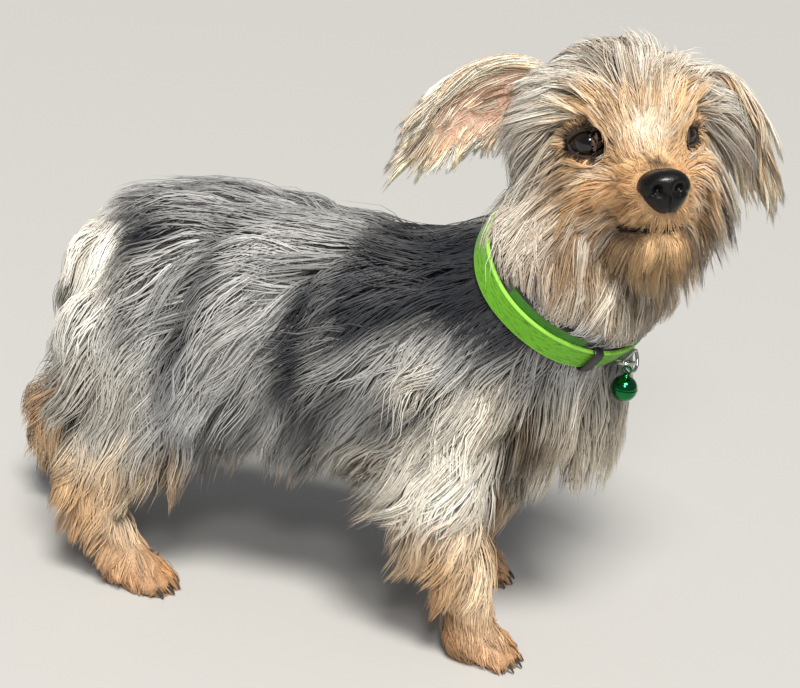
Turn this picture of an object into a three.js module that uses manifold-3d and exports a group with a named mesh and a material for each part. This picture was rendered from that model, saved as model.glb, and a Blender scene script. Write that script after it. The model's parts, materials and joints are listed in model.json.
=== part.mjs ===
// Yorkshire terrier standing, a still model at life size.
// Millimetres; +X is the way the body faces, +Y its left side, +Z up; the feet stand on z = 0.
// Each part of the body is a run of oval sections along a curved line through its middle, and the
// long coat lies over it as flat, tapered locks that bend over the body and hang from it.

import * as THREE from 'three';
import { mergeVertices } from 'three/addons/utils/BufferGeometryUtils.js';
import Module from 'manifold-3d';

const wasm = await Module();
wasm.setup();

// Driving dimensions of the animal
const GAP = 0.3; // clearance between neighbouring pieces
const BACK = 153; // height of the back under the lying coat
const BELLY = 83; // height of the belly under the hanging coat
const RUMP = -112; // the rump's end
const BREAST = 98; // the front of the breast
const FLANK = 35; // half width of the trunk

// The head turns to the animal's right, looks a little up and leans over
const HEAD_AT = new THREE.Vector3(98.3, -21, 209.2); // midway between the eyes
const HEAD_TURN = -68.3; // degrees
const HEAD_LIFT = 8.3;
const HEAD_LEAN = 9.1;
const EYE_SPREAD = 15.6; // half the distance between the middles of the eyeballs
const EYE_RADIUS = 7.4;
const EYE_SPLAY = 22; // degrees that each eye looks outwards
const NOSE_WIDTH = 17;

// The collar and its bell
const COLLAR_AT = new THREE.Vector3(79.5, -10, 151);
const COLLAR_RADIUS = 35; // middle of the webbing
const COLLAR_WIDTH = 10;
const COLLAR_THICK = 1.6;
const COLLAR_TILT = 39.4; // degrees from level
const COLLAR_TURN = -38.7; // where the low side points
const LAP_FROM = -80; // the lapped end of the webbing, degrees from the collar's low side
const LAP_TO = -22;
const TAG_ANGLE = 24; // where the tag ring hangs
const BELL_RADIUS = 5;
const RING_AT = new THREE.Vector3(107.2, -16.5, 124.9);
const BELL_AT = new THREE.Vector3(108.6, -19, 115.8);

// Locks of hair: how thick, how far sunk into what they grow from, and how long in each region
const LOCK_THICK = 2.8;
const FINE_THICK = 2.2;
const ROOT_DEPTH = 3;
const LOCK_ROWS = 4;
const HAIR = {
  back: 52,
  flank: 52,
  belly: 48,
  rump: 42,
  thigh: 38,
  breast: 46,
  shoulder: 40,
  ruff: 20,
  crown: 30,
  temple: 32,
  nape: 38,
  cheek: 32,
  lip: 20,
  beard: 21,
  tail: 22,
};

// Paws
const FLOOR_SINK = 1.6; // how far the pads press flat

// Colours, roughness and metalness from the photograph
const FINISH = {
  coat: { color: 0x9b9a98, roughness: 0.75, metalness: 0 },
  tan: { color: 0xb88b60, roughness: 0.75, metalness: 0 },
  cream: { color: 0xc9b89c, roughness: 0.75, metalness: 0 },
  eye: { color: 0x120b08, roughness: 0.08, metalness: 0 },
  nose: { color: 0x16151a, roughness: 0.45, metalness: 0 },
  webbing: { color: 0x66a81e, roughness: 0.7, metalness: 0 },
  plastic: { color: 0x141414, roughness: 0.4, metalness: 0 },
  metal: { color: 0xb9bdc0, roughness: 0.25, metalness: 1 },
  bell: { color: 0x0b6b2e, roughness: 0.2, metalness: 1 },
};

const UP = new THREE.Vector3(0, 0, 1);
const FORWARD = new THREE.Vector3(1, 0, 0);
const radians = THREE.MathUtils.degToRad;
const way = (x, y, z) => new THREE.Vector3(x, y, z).normalize();

// Seeded random numbers, and a value varied by up to a share of itself
let seed = 3;
function random() {
  seed = (1664525 * seed + 1013904223) % 4294967296;
  return seed / 4294967296;
}
const vary = (value, share) => value * (1 + share * (2 * random() - 1));

// A place or a direction given in the head's own axes: forward, left, up from midway between the eyes
const headTurn = new THREE.Quaternion().setFromEuler(
  new THREE.Euler(radians(HEAD_LEAN), radians(-HEAD_LIFT), radians(HEAD_TURN), 'ZYX'));
const headWay = (x, y, z) => way(x, y, z).applyQuaternion(headTurn);
const inHead = (x, y, z) => new THREE.Vector3(x, y, z).applyQuaternion(headTurn).add(HEAD_AT);
const HEAD_UP = headWay(0, 0, 1);

// The collar's own axes: from its middle to its low side, to the animal's left, and up along the neck
const collarTilt = new THREE.Vector3(
  Math.sin(radians(COLLAR_TILT)) * Math.cos(radians(COLLAR_TURN)),
  Math.sin(radians(COLLAR_TILT)) * Math.sin(radians(COLLAR_TURN)),
  Math.cos(radians(COLLAR_TILT)));
const collarLow = new THREE.Vector3(0, 0, -1).addScaledVector(collarTilt, collarTilt.z).normalize();
const collarFrame = new THREE.Matrix4()
  .makeBasis(collarLow, new THREE.Vector3().crossVectors(collarTilt, collarLow), collarTilt)
  .setPosition(COLLAR_AT);

// Solids: a three.js geometry made ready to be joined and cut
function solid(geometry, tolerance = 1e-4) {
  const bare = geometry.clone();
  bare.deleteAttribute('normal');
  bare.deleteAttribute('uv');
  const merged = mergeVertices(bare, tolerance);
  const vertProperties = new Float32Array(merged.attributes.position.array);
  const triVerts = new Uint32Array(merged.index.array);
  return new wasm.Manifold(new wasm.Mesh({ numProp: 3, vertProperties, triVerts }));
}

const join = (solids) => solids.reduce((whole, next) => whole.add(next));

const cut = (whole, cutters) => cutters.reduce((rest, next) => rest.subtract(next), whole);

function shapeOf(whole) {
  const { vertProperties, triVerts } = whole.getMesh();
  const geometry = new THREE.BufferGeometry();
  geometry.setAttribute('position', new THREE.BufferAttribute(vertProperties, 3));
  geometry.setIndex(new THREE.BufferAttribute(triVerts, 1));
  return geometry;
}

// Whether two sheets of a solid meet along an edge: then the same way along it serves two faces
function pinched(whole) {
  const corners = mergeVertices(shapeOf(whole), 1e-3).index.array;
  const seen = new Set();
  for (let i = 0; i < corners.length; i += 3) {
    const [a, b, c] = corners.slice(i, i + 3);
    if (a === b || b === c || c === a) continue;
    for (const edge of [`${a} ${b}`, `${b} ${c}`, `${c} ${a}`]) {
      if (seen.has(edge)) return true;
      seen.add(edge);
    }
  }
  return false;
}

// The largest closed surface of a solid, once points that all but touch are made one. The points
// are gathered on a grid, twice, because two that touch can lie on either side of a grid line, and
// on a coarser grid where sheets still meet along an edge.
function largest(whole) {
  for (const touch of [2e-3, 1e-3, 4e-3, 8e-3, 16e-3, 32e-3]) {
    const half = touch / 2;
    const once = solid(shapeOf(whole), touch).translate([half, half, half]);
    const settled = solid(shapeOf(once), touch).translate([-half, -half, -half]);
    const best = settled.decompose().reduce((a, b) => (b.volume() > a.volume() ? b : a));
    if (!pinched(best)) return best;
  }
  throw new Error('a solid stays pinched');
}

// A closed body made of a ball's rows and columns of points, each moved by place(row, angle)
function shaped(rows, columns, place) {
  const ball = new THREE.SphereGeometry(1, columns, rows);
  const points = ball.attributes.position;
  for (let i = 0; i < points.count; i += 1) {
    const row = Math.floor(i / (columns + 1));
    const column = (i % (columns + 1)) % columns;
    const p = place(row, 2 * Math.PI * column / columns);
    points.setXYZ(i, p.x, p.y, p.z);
  }
  return solid(ball);
}

function ballAt(centre, radius, columns, rows) {
  return solid(new THREE.SphereGeometry(radius, columns, rows).translate(centre.x, centre.y, centre.z));
}

// A run of oval sections along a smooth line. Each station holds a middle point, a half width and
// a half depth; the depth points as near to the given up as the line allows.
class Form {
  constructor(stations, up = UP) {
    this.line = new THREE.CatmullRomCurve3(stations.map((s) => s.at));
    this.sizes = new THREE.CatmullRomCurve3(stations.map((s) => new THREE.Vector3(s.wide, s.deep, 0)));
    this.up = up;
    this.probes = Array.from({ length: 33 }, (_, i) => this.section(i / 32));
    this.step = this.line.getLength() / 32;
  }

  section(t) {
    const middle = this.line.getPoint(t);
    const along = this.line.getTangent(t);
    const side = new THREE.Vector3().crossVectors(along, this.up).normalize();
    const rise = new THREE.Vector3().crossVectors(side, along);
    const size = this.sizes.getPoint(t);
    return { middle, along, side, rise, wide: size.x, deep: size.y };
  }

  // A point on the surface of the form, grown outwards by the given amount, and the way out there
  point(t, angle, grow = 0) {
    const s = this.section(t);
    return s.middle.clone()
      .addScaledVector(s.side, (s.wide + grow) * Math.cos(angle))
      .addScaledVector(s.rise, (s.deep + grow) * Math.sin(angle));
  }

  out(t, angle) {
    const s = this.section(t);
    return s.side.clone().multiplyScalar(s.deep * Math.cos(angle))
      .addScaledVector(s.rise, s.wide * Math.sin(angle)).normalize();
  }

  // How high a point lies above the form, about, and the way out of it there
  above(p) {
    let best = { height: Infinity };
    for (const s of this.probes) {
      const away = p.clone().sub(s.middle);
      const along = away.dot(s.along);
      const u = away.dot(s.side);
      const v = away.dot(s.rise);
      const oval = Math.hypot(u / s.wide, v / s.deep);
      const radial = Math.hypot(u, v) * (1 - 1 / oval);
      const past = Math.max(0, Math.abs(along) - 0.6 * this.step);
      const height = past > 0 ? Math.hypot(Math.max(radial, 0), past) : radial;
      if (height < best.height) {
        const out = s.side.clone().multiplyScalar(u / s.wide ** 2)
          .addScaledVector(s.rise, v / s.deep ** 2).normalize();
        if (past > 0) {
          out.multiplyScalar(Math.max(radial, 0)).addScaledVector(s.along, Math.sign(along) * past);
        }
        best = { height, out: out.normalize() };
      }
    }
    return best;
  }

  solid(rows, columns, grow = 0) {
    return shaped(rows, columns, (row, angle) => {
      const t = THREE.MathUtils.clamp((row - 1) / (rows - 2), 0, 1);
      if (row > 0 && row < rows) return this.point(t, angle, grow);
      const end = this.section(t);
      const dome = (row === 0 ? -1 : 1) * (0.4 * Math.min(end.wide, end.deep) + grow);
      return end.middle.addScaledVector(end.along, dome);
    });
  }
}

const station = (x, y, z, wide, deep) => ({ at: new THREE.Vector3(x, y, z), wide, deep });
const headStation = (x, y, z, wide, deep) => ({ at: inHead(x, y, z), wide, deep });
const headForm = (rows) => new Form(rows.map((row) => headStation(...row)), HEAD_UP);

// A rod of round section through the given points
function rod(points, radius, rows, columns, grow = 0) {
  const stations = points.map((at) => ({ at, wide: radius, deep: radius }));
  return new Form(stations, new THREE.Vector3(0.3, 0.2, 1)).solid(rows, columns, grow);
}

// Trunk: even steps from rump to breast, with each section's share of the full width and depth
const TRUNK_SHAPE = [
  { wide: 0.42, deep: 0.42, raise: 3 },
  { wide: 0.86, deep: 0.85, raise: 1 },
  { wide: 1.0, deep: 0.97, raise: 0 },
  { wide: 1.0, deep: 1.0, raise: 0 },
  { wide: 1.0, deep: 1.0, raise: -1 },
  { wide: 1.0, deep: 1.0, raise: -1 },
  { wide: 0.97, deep: 1.0, raise: 0 },
  { wide: 0.78, deep: 0.86, raise: 1 },
  { wide: 0.42, deep: 0.5, raise: 2 },
];
const trunkStep = (BREAST - RUMP) / (TRUNK_SHAPE.length - 1);
const trunkAt = (x) => (x - RUMP) / (BREAST - RUMP);
const TRUNK = new Form(TRUNK_SHAPE.map(({ wide, deep, raise }, i) => station(
  RUMP + i * trunkStep, 0, (BACK + BELLY) / 2 + raise, wide * FLANK, deep * (BACK - BELLY) / 2)));

// Neck: its base rises out of the shoulders, and above the collar it turns up to the skull
const NECK_BASE = new Form([
  station(44, 2, 120, 24, 26),
  station(62, -2, 134, 30, 31),
  { at: COLLAR_AT, wide: COLLAR_RADIUS - 1.4, deep: COLLAR_RADIUS - 1.4 },
], FORWARD);
const NECK = new Form([
  station(64, -3, 134, 30, 30),
  { at: COLLAR_AT, wide: COLLAR_RADIUS - 1.4, deep: COLLAR_RADIUS - 1.4 },
  station(85, -9, 168, 27, 27),
  station(88, -1, 186, 22, 22),
], FORWARD);

// Head: skull, muzzle, jaw and cheeks
const SKULL = headForm([
  [-50, 0, 2, 14, 15], [-42, 0, 3, 24, 23], [-28, 0, 3, 28, 27], [-12, 0, 2, 26.5, 24],
  [-3, 0, 0, 23, 19.5], [3, 0, -3, 17.5, 14.5], [8, 0, -7, 12, 10],
]);
const MUZZLE = headForm([
  [-6, 0, -12, 15, 12], [6, 0, -13.5, 13.5, 11], [16, 0, -15, 12, 10.5],
  [25, 0, -16, 10.8, 10], [31, 0, -17, 9, 9.5],
]);
const JAW = headForm([
  [-22, 0, -24, 17, 10], [-6, 0, -30, 16, 9], [8, 0, -32.5, 13, 7.5],
  [19, 0, -33, 10, 6.5], [27, 0, -32.5, 6.5, 4.5],
]);
const CHEEKS = [-1, 1].map((side) => headForm([
  [-24, 18 * side, -8, 10, 14], [-8, 17 * side, -15, 9.5, 12], [4, 12 * side, -19, 6, 7],
]));

// Legs: each a run of oval sections from inside the trunk to the ankle
const LEGS = {
  foreleg_right: {
    line: [
      [54, -24, 108, 11, 15], [50, -29, 92, 11, 15], [47, -33, 77, 9.5, 12.5],
      [53, -34, 58, 8.5, 10.5], [60, -34, 38, 8, 9], [65, -34, 22, 7.6, 8.4], [67, -34, 10, 7.6, 8.4],
    ],
    paw: [71, -34, 4],
  },
  foreleg_left: {
    line: [
      [58, 22, 108, 11, 15], [65, 27, 92, 11, 14], [68, 30, 78, 9.5, 12],
      [61, 31, 58, 8.5, 10.5], [56, 32, 38, 8, 9], [53, 32, 22, 7.6, 8.4], [51, 32, 10, 7.6, 8.4],
    ],
    paw: [55, 32, 2],
  },
  hindleg_right: {
    line: [
      [-86, -20, 112, 14, 25], [-79, -26, 95, 13.5, 23], [-70, -31, 79, 11.5, 17.5],
      [-80, -34, 62, 9.5, 12.5], [-91, -36, 47, 8, 9.5], [-87, -37, 30, 7.6, 8.4], [-76, -37, 12, 7.6, 8.4],
    ],
    paw: [-70, -37, -2],
    hock: 50,
  },
  hindleg_left: {
    line: [
      [-92, 20, 112, 14, 24], [-90, 24, 95, 13.5, 22], [-88, 27, 81, 11.5, 17],
      [-109, 24, 63, 9.5, 12], [-132, 18, 49, 8, 9.5], [-129, 15, 31, 7.6, 8.4], [-120, 14, 12, 7.6, 8.4],
    ],
    paw: [-114, 14, 2],
    hock: 52,
  },
};
for (const leg of Object.values(LEGS)) leg.form = new Form(leg.line.map((row) => station(...row)), FORWARD);

// Tail: short, carried low against the rump
const TAIL = new Form([
  station(-100, -2, 140, 6, 6),
  station(-112, -4, 136, 6, 6.5),
  station(-120, -7, 124, 5, 5.5),
  station(-122, -9, 110, 3.5, 3.5),
], FORWARD);

// The lie of the coat: a lock starts inside the surface it grows from, runs the way it is combed,
// falls more and more under its own weight, and never sinks back into the body.
const HEAD_FORMS = [SKULL, MUZZLE, JAW, ...CHEEKS];
const BODY_FORMS = [TRUNK, NECK_BASE, NECK, TAIL, ...Object.values(LEGS).map((leg) => leg.form)];
const ALL_FORMS = [...HEAD_FORMS, ...BODY_FORMS];

function aboveBody(p) {
  return ALL_FORMS.map((form) => form.above(p)).reduce((a, b) => (b.height < a.height ? b : a));
}

class Lock {
  constructor(root, out, comb, sizes) {
    const { length, width, lift = 5, fall = 0.6, rise = 0.35 } = sizes;
    const { thick = LOCK_THICK, depth = ROOT_DEPTH } = sizes;
    const steps = 5;
    const points = [root.clone().addScaledVector(out, -depth)];
    this.outs = [out.clone()];
    let p = root.clone();
    let side = out.clone();
    for (let i = 1; i <= steps; i += 1) {
      const share = i / steps;
      const run = comb.clone().multiplyScalar(1 - fall * share)
        .addScaledVector(UP, -fall * share)
        .addScaledVector(side, rise * (1 - share))
        .normalize();
      p = p.clone().addScaledVector(run, length / steps);
      const near = aboveBody(p);
      const keep = lift * Math.min(1, 0.35 + 1.3 * share);
      if (near.height < keep) p.addScaledVector(near.out, keep - near.height);
      if (near.height < 2.5 * lift) side = near.out.clone();
      points.push(p);
      this.outs.push(side);
    }
    this.line = new THREE.CatmullRomCurve3(points);
    this.width = width;
    this.thick = thick;
  }

  solid(grow = 0) {
    return shaped(LOCK_ROWS, 4, (row, angle) => {
      const share = row / LOCK_ROWS;
      const p = this.line.getPoint(share);
      const along = this.line.getTangent(share);
      if (row === 0) return p.addScaledVector(along, -grow);
      if (row === LOCK_ROWS) return p.addScaledVector(along, grow);
      const out = this.outs[Math.round(share * (this.outs.length - 1))];
      const across = new THREE.Vector3().crossVectors(along, out).normalize();
      const face = new THREE.Vector3().crossVectors(across, along);
      const half = 0.5 * this.width * Math.sin(Math.PI * (0.24 + 0.72 * share)) + grow;
      const deep = 0.5 * this.thick * (1.1 - 0.75 * share) + grow;
      return p.addScaledVector(across, half * Math.cos(angle)).addScaledVector(face, deep * Math.sin(angle));
    });
  }
}

// A lock rooted on a form at a share of its length and an angle round it, in degrees
function lockOn(form, t, degrees, comb, sizes) {
  const angle = radians(degrees);
  return new Lock(form.point(t, angle), form.out(t, angle), comb, sizes);
}

// Locks bend more than cores, so their clearance is a little wider
const coated = (core, locks, grow = 0) => join([core, ...locks.map((lock) => lock.solid(1.5 * grow))]);

// Hair of the neck, hanging over the collar's upper edge from under the head
function neckLocks() {
  const count = 6;
  return Array.from({ length: count }, (_, i) => {
    const degrees = 360 * (i + 0.5) / count;
    const out = NECK.out(0.68, radians(degrees));
    const run = out.clone().multiplyScalar(0.5).addScaledVector(collarTilt, -1).normalize();
    return lockOn(NECK, 0.68 + 0.05 * (i % 2), degrees, run, {
      length: vary(HAIR.ruff, 0.08), width: 19, lift: 4 + 1.5 * (i % 2), fall: 0.1,
    });
  });
}

// Coat of the trunk, in tiers from the parting down the back to the hem
function trunkLocks() {
  const locks = [];
  const tiers = [
    { down: 9, from: -92, to: 58, count: 6, comb: [-0.7, 0.85, -0.3], hair: 'back', lift: 7.2, fall: 0.3 },
    { down: 56, from: -98, to: 66, count: 7, comb: [-0.45, 0.3, -0.9], hair: 'flank', lift: 5.2, fall: 0.5 },
    { down: 100, from: -52, to: 36, count: 4, comb: [-0.3, 0, -1], hair: 'belly', lift: 3, fall: 0.7 },
  ];
  for (const { down, from, to, count, comb, hair, lift, fall } of tiers) {
    for (const side of [-1, 1]) {
      for (let i = 0; i < count; i += 1) {
        const x = from + (to - from) * (i + 0.25 * (i % 2) + 0.3 * random()) / (count - 1);
        const degrees = 90 + side * vary(down, 0.08);
        const run = way(comb[0], side * comb[1], comb[2]);
        const width = 1.2 * (to - from) / (count - 1);
        locks.push(lockOn(TRUNK, trunkAt(Math.min(x, to)), degrees, run, {
          length: vary(HAIR[hair], 0.12), width, lift: lift + 1.2 * (i % 2), fall,
        }));
      }
    }
  }
  return locks;
}

// Coat of the rump and the breast, hanging from the two ends of the trunk
function endLocks() {
  const locks = [];
  for (const [i, degrees] of [35, 75, 115, 155].entries()) {
    const fan = -Math.cos(radians(degrees));
    locks.push(lockOn(TRUNK, 0.05 + 0.02 * (i % 2), degrees - 10, way(-0.7, 0.5 * fan, -0.6), {
      length: vary(HAIR.rump, 0.1), width: 22, lift: 5 + 1.5 * (i % 2), fall: 0.75,
    }));
  }
  for (const [i, degrees] of [-20, 15, 165, 200].entries()) {
    locks.push(lockOn(TRUNK, 0.06, degrees, way(-0.6, 0, -0.9), {
      length: vary(HAIR.thigh, 0.1), width: 19, lift: 3 + 1.5 * (i % 2), fall: 0.7,
    }));
  }
  for (const [i, degrees] of [-20, 15, 60, 120, 165, 200].entries()) {
    const fan = -Math.cos(radians(degrees));
    locks.push(lockOn(TRUNK, 0.94 - 0.02 * (i % 2), degrees, way(0.35, 0.15 * fan, -1), {
      length: vary(HAIR.breast, 0.1), width: 24, lift: 4 + 1.5 * (i % 2), fall: 0.8,
    }));
  }
  return locks;
}

// Coat round the neck's base, from under the collar over the shoulders and the breast
function collarLocks() {
  const locks = [];
  const count = 8;
  for (let i = 0; i < count; i += 1) {
    const degrees = 360 * i / count + 10;
    const out = NECK_BASE.out(0.8, radians(degrees));
    const run = out.clone().multiplyScalar(0.4).add(new THREE.Vector3(-0.2, 0, -1)).normalize();
    locks.push(lockOn(NECK_BASE, 0.8, degrees, run, {
      length: vary(HAIR.shoulder, 0.12), width: 22, lift: 4.5 + 1.5 * (i % 2), fall: 0.6,
    }));
  }
  return locks;
}

// Hair of the head: crown, back of the skull, cheeks, upper lip and beard
function headLocks() {
  const locks = [];
  for (const side of [-1, 1]) {
    for (const [i, t] of [0.28, 0.44, 0.6].entries()) {
      locks.push(lockOn(SKULL, t, 90 + side * vary(8, 0.2), headWay(-0.5 + 0.35 * i, side * 1.1, 0.1), {
        length: vary(HAIR.crown, 0.12), width: 16, lift: 7.5, fall: 0.35, rise: 0.45,
      }));
      locks.push(lockOn(SKULL, t - 0.06, 90 + side * vary(50, 0.1), headWay(-0.5, side, -0.35), {
        length: vary(HAIR.temple, 0.12), width: 17, lift: 8 + 1.5 * (i % 2), fall: 0.5, rise: 0.5,
      }));
    }
    for (const [i, t] of [0.16, 0.34, 0.5, 0.66].entries()) {
      locks.push(lockOn(SKULL, t, 90 + side * vary(98, 0.06), headWay(-0.35, side * 0.6, -1), {
        length: vary(HAIR.nape - 3 * i, 0.1), width: 17, lift: 9 + 1.5 * (i % 2), fall: 0.45, rise: 0.7,
      }));
    }
    for (const [i, t] of [0.3, 0.75].entries()) {
      locks.push(lockOn(CHEEKS[side < 0 ? 0 : 1], t, 90 + side * 105, headWay(-0.2, side * 0.55, -1), {
        length: vary(HAIR.cheek, 0.1), width: 15, lift: 6 + 1.5 * (i % 2), fall: 0.45, rise: 0.6,
      }));
    }
    for (const [i, t] of [0.45, 0.8].entries()) {
      locks.push(lockOn(MUZZLE, t, 90 + side * vary(80, 0.05), headWay(-0.3, side * 0.7, -0.9), {
        length: vary(HAIR.lip, 0.1), width: 10, lift: 3 + (i % 2), fall: 0.4, rise: 0.3, thick: FINE_THICK,
      }));
    }
  }
  for (const [i, degrees] of [40, 75, 110, 145].entries()) {
    const fan = Math.cos(radians(degrees));
    locks.push(lockOn(SKULL, 0.06, degrees, headWay(-0.7, 0.6 * fan, 0.1), {
      length: vary(HAIR.crown, 0.1), width: 18, lift: 6 + 1.5 * (i % 2), fall: 0.7,
    }));
  }
  for (const [i, degrees] of [205, 248, 292, 335].entries()) {
    const fan = -Math.cos(radians(degrees));
    locks.push(lockOn(JAW, 0.72 + 0.1 * (i % 2), degrees, headWay(0.15, 0.3 * fan, -1), {
      length: vary(HAIR.beard, 0.1), width: 11, lift: 3 + (i % 2), fall: 0.3, thick: FINE_THICK,
    }));
    locks.push(lockOn(JAW, 0.3 + 0.1 * (i % 2), degrees, headWay(0, 0.4 * fan, -1), {
      length: vary(HAIR.beard, 0.1), width: 14, lift: 3 + (i % 2), fall: 0.4,
    }));
  }
  return locks;
}

// Eyes: a ball each, in a socket, with an upper and a lower lid
const eyeCentre = (side) => inHead(-4, side * EYE_SPREAD, -0.5);
function lid(side, height, grow) {
  const look = radians(side * EYE_SPLAY);
  const points = [-75, -45, -15, 15, 45, 75].map(radians).map((a) => {
    const sideways = 0.86 * Math.sin(a);
    const rise = height * Math.cos(a);
    const ahead = Math.sqrt(Math.max(0.05, 1 - sideways ** 2 - rise ** 2));
    const reach = EYE_RADIUS + 0.9;
    const x = ahead * Math.cos(look) - sideways * Math.sin(look);
    const y = ahead * Math.sin(look) + sideways * Math.cos(look);
    return eyeCentre(side).add(new THREE.Vector3(x, y, rise).multiplyScalar(reach).applyQuaternion(headTurn));
  });
  return rod(points, 1.2, 7, 6, grow);
}
const LID_HEIGHTS = { '-1': [0.6, -0.58], 1: [0.42, -0.5] };

// Mouth: a line between the upper and the lower lip
const LIPS = [[1, 15], [10, 13], [20, 11], [27, 7.5]];
const lipLine = (rise, out) => [...LIPS.map(([x, y]) => [x, -y]), [30.5, 0], ...LIPS.slice().reverse()]
  .map(([x, y]) => inHead(x + 0.25 * out, y * (1 + 0.04 * out), 0.07 * x - 28.2 + rise));

function headCore(grow = 0) {
  const skin = [SKULL.solid(9, 13, grow), MUZZLE.solid(7, 12, grow), JAW.solid(7, 12, grow)];
  skin.push(...CHEEKS.map((cheek) => cheek.solid(5, 8, grow)));
  for (const side of [-1, 1]) {
    skin.push(...LID_HEIGHTS[side].map((height) => lid(side, height, grow)));
  }
  skin.push(rod(lipLine(-1.6, -0.4), 1.5, 10, 6, grow));
  return join(skin);
}
const mouthLine = rod(lipLine(0.4, 1.6), 1.1, 12, 6);

// Nose leather with its two nostrils
function noseLeather(grow = 0) {
  return headForm([
    [28, 0, -14, 0.36 * NOSE_WIDTH, 0.34 * NOSE_WIDTH],
    [31.5, 0, -14, 0.5 * NOSE_WIDTH, 0.43 * NOSE_WIDTH],
    [35.5, 0, -14, 0.44 * NOSE_WIDTH, 0.36 * NOSE_WIDTH],
    [37.5, 0, -14.5, 0.25 * NOSE_WIDTH, 0.2 * NOSE_WIDTH],
  ]).solid(7, 12, grow);
}
const nostrils = [-1, 1].map((side) => headForm([
  [34, side * 3.4, -15.6, 1.2, 1.4],
  [36.6, side * 4.4, -15.4, 1.9, 2.0],
  [39.5, side * 5.6, -15.6, 1.9, 2.0],
]).solid(5, 8));

// Ears: each a leaf with a hollow front, fringed with long hair
const EARS = {
  ear_right: {
    line: [[-29, -23, 14], [-33, -38, 16], [-34, -54, 9], [-33, -67, -2]],
    across: headWay(0.2, 0.15, 1),
    half: 15,
    fringe: [[0.35, 0.8, [0, -0.8, 0.25], 34], [0.7, 0.75, [0, -1, -0.05], 32], [0.9, 0.3, [0, -1, -0.4], 28],
      [0.9, -0.4, [0, -0.9, -0.7], 26], [0.65, -0.75, [0, -0.6, -0.9], 28], [0.3, -0.7, [0.1, -0.4, -1], 28]],
  },
  ear_left: {
    line: [[-28, 24, 16], [-30, 37, 13], [-29, 46, 0], [-28, 51, -16]],
    across: headWay(0.75, 0.4, 0.35),
    half: 12,
    fringe: [[0.3, 0.7, [0.1, 0.5, -0.8], 38], [0.65, 0.7, [0.1, 0.25, -1], 38], [0.9, 0, [0, 0.2, -1], 36],
      [0.65, -0.7, [-0.1, 0.3, -1], 36], [0.3, -0.7, [-0.2, 0.6, -0.8], 34]],
  },
};
const EAR_CUP = 4; // depth of the hollow
const EAR_THICK = 2.6;
function earSpot(ear, t) {
  const line = new THREE.CatmullRomCurve3(ear.line.map(([x, y, z]) => inHead(x, y, z)));
  const along = line.getTangent(t);
  const wide = ear.across.clone().addScaledVector(along, -ear.across.dot(along)).normalize();
  const out = new THREE.Vector3().crossVectors(wide, along);
  const reach = ear.half * Math.sin(Math.PI * (0.2 + 0.76 * t)) ** 0.8;
  const middle = line.getPoint(t);
  const spot = (aside) => middle.clone().addScaledVector(wide, aside)
    .addScaledVector(out, EAR_CUP * (1 - (aside / reach) ** 2));
  return { spot, along, out, reach };
}
function earLeaf(ear, grow = 0) {
  const rows = 8;
  return shaped(rows, 8, (row, angle) => {
    const t = THREE.MathUtils.clamp((row - 1) / (rows - 2), 0, 1);
    const { spot, along, out, reach } = earSpot(ear, t);
    const end = { 0: -1, 1: 1 }[t] ?? 0;
    if (row === 0 || row === rows) return spot(0).addScaledVector(along, end * grow);
    return spot((reach + grow) * Math.cos(angle))
      .addScaledVector(out, (EAR_THICK / 2 + grow) * Math.sin(angle))
      .addScaledVector(along, end * grow);
  });
}
function earLocks(ear) {
  return ear.fringe.map(([t, lean, [x, y, z], length]) => {
    const { spot, out, reach } = earSpot(ear, t);
    return new Lock(spot(0.7 * reach * lean), out, headWay(x, y, z), {
      length: vary(length, 0.1), width: 12, lift: 2, fall: 0.35, thick: FINE_THICK, rise: 0, depth: 0,
    });
  });
}

// Collar: a band of webbing, its lapped end, a slide that keeps the lap, and a ring for the bell
// A stretch of the band: part of a flat ring, as wide as the webbing, from one angle to another
function band({ radius, width = COLLAR_WIDTH, rise = 0, from, to }, grow = 0) {
  const inner = radius - COLLAR_THICK / 2 - grow;
  const outer = radius + COLLAR_THICK / 2 + grow;
  const outline = new THREE.Shape();
  const whole = to - from >= 360;
  if (whole) {
    outline.absarc(0, 0, outer, 0, 2 * Math.PI);
    outline.holes.push(new THREE.Path().absarc(0, 0, inner, 0, 2 * Math.PI));
  } else {
    outline.absarc(0, 0, outer, radians(from), radians(to));
    outline.absarc(0, 0, inner, radians(to), radians(from), true);
    outline.closePath();
  }
  const depth = width + 2 * grow;
  const geometry = new THREE.ExtrudeGeometry(outline, {
    depth, bevelEnabled: false, curveSegments: whole ? 18 : Math.ceil((to - from) / 18),
  });
  return solid(geometry.translate(0, 0, rise - depth / 2).applyMatrix4(collarFrame));
}
const BAND = { radius: COLLAR_RADIUS, from: 0, to: 360 };
const LAP = { radius: COLLAR_RADIUS - COLLAR_THICK - GAP, rise: 5, from: LAP_FROM, to: LAP_TO };
const SLIDE = {
  radius: COLLAR_RADIUS + COLLAR_THICK + GAP, width: 1.04 * COLLAR_WIDTH, from: LAP_TO + 6, to: LAP_TO + 14,
};

// A point beside the collar: angle from its low side, radius, and height along its axis
function byCollar(angle, radius, rise) {
  const a = radians(angle);
  return new THREE.Vector3(radius * Math.cos(a), radius * Math.sin(a), rise).applyMatrix4(collarFrame);
}

// The collar's axis parts the neck from the shoulders, just under the webbing
const PART_RISE = -COLLAR_WIDTH / 2 - 1.5;
function besideCollar(side) {
  const reach = 150;
  const shift = PART_RISE + side * (reach / 2 - GAP / 2);
  const slab = new THREE.BoxGeometry(2 * reach, 2 * reach, reach).translate(0, 0, shift);
  return solid(slab.applyMatrix4(collarFrame));
}

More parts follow.
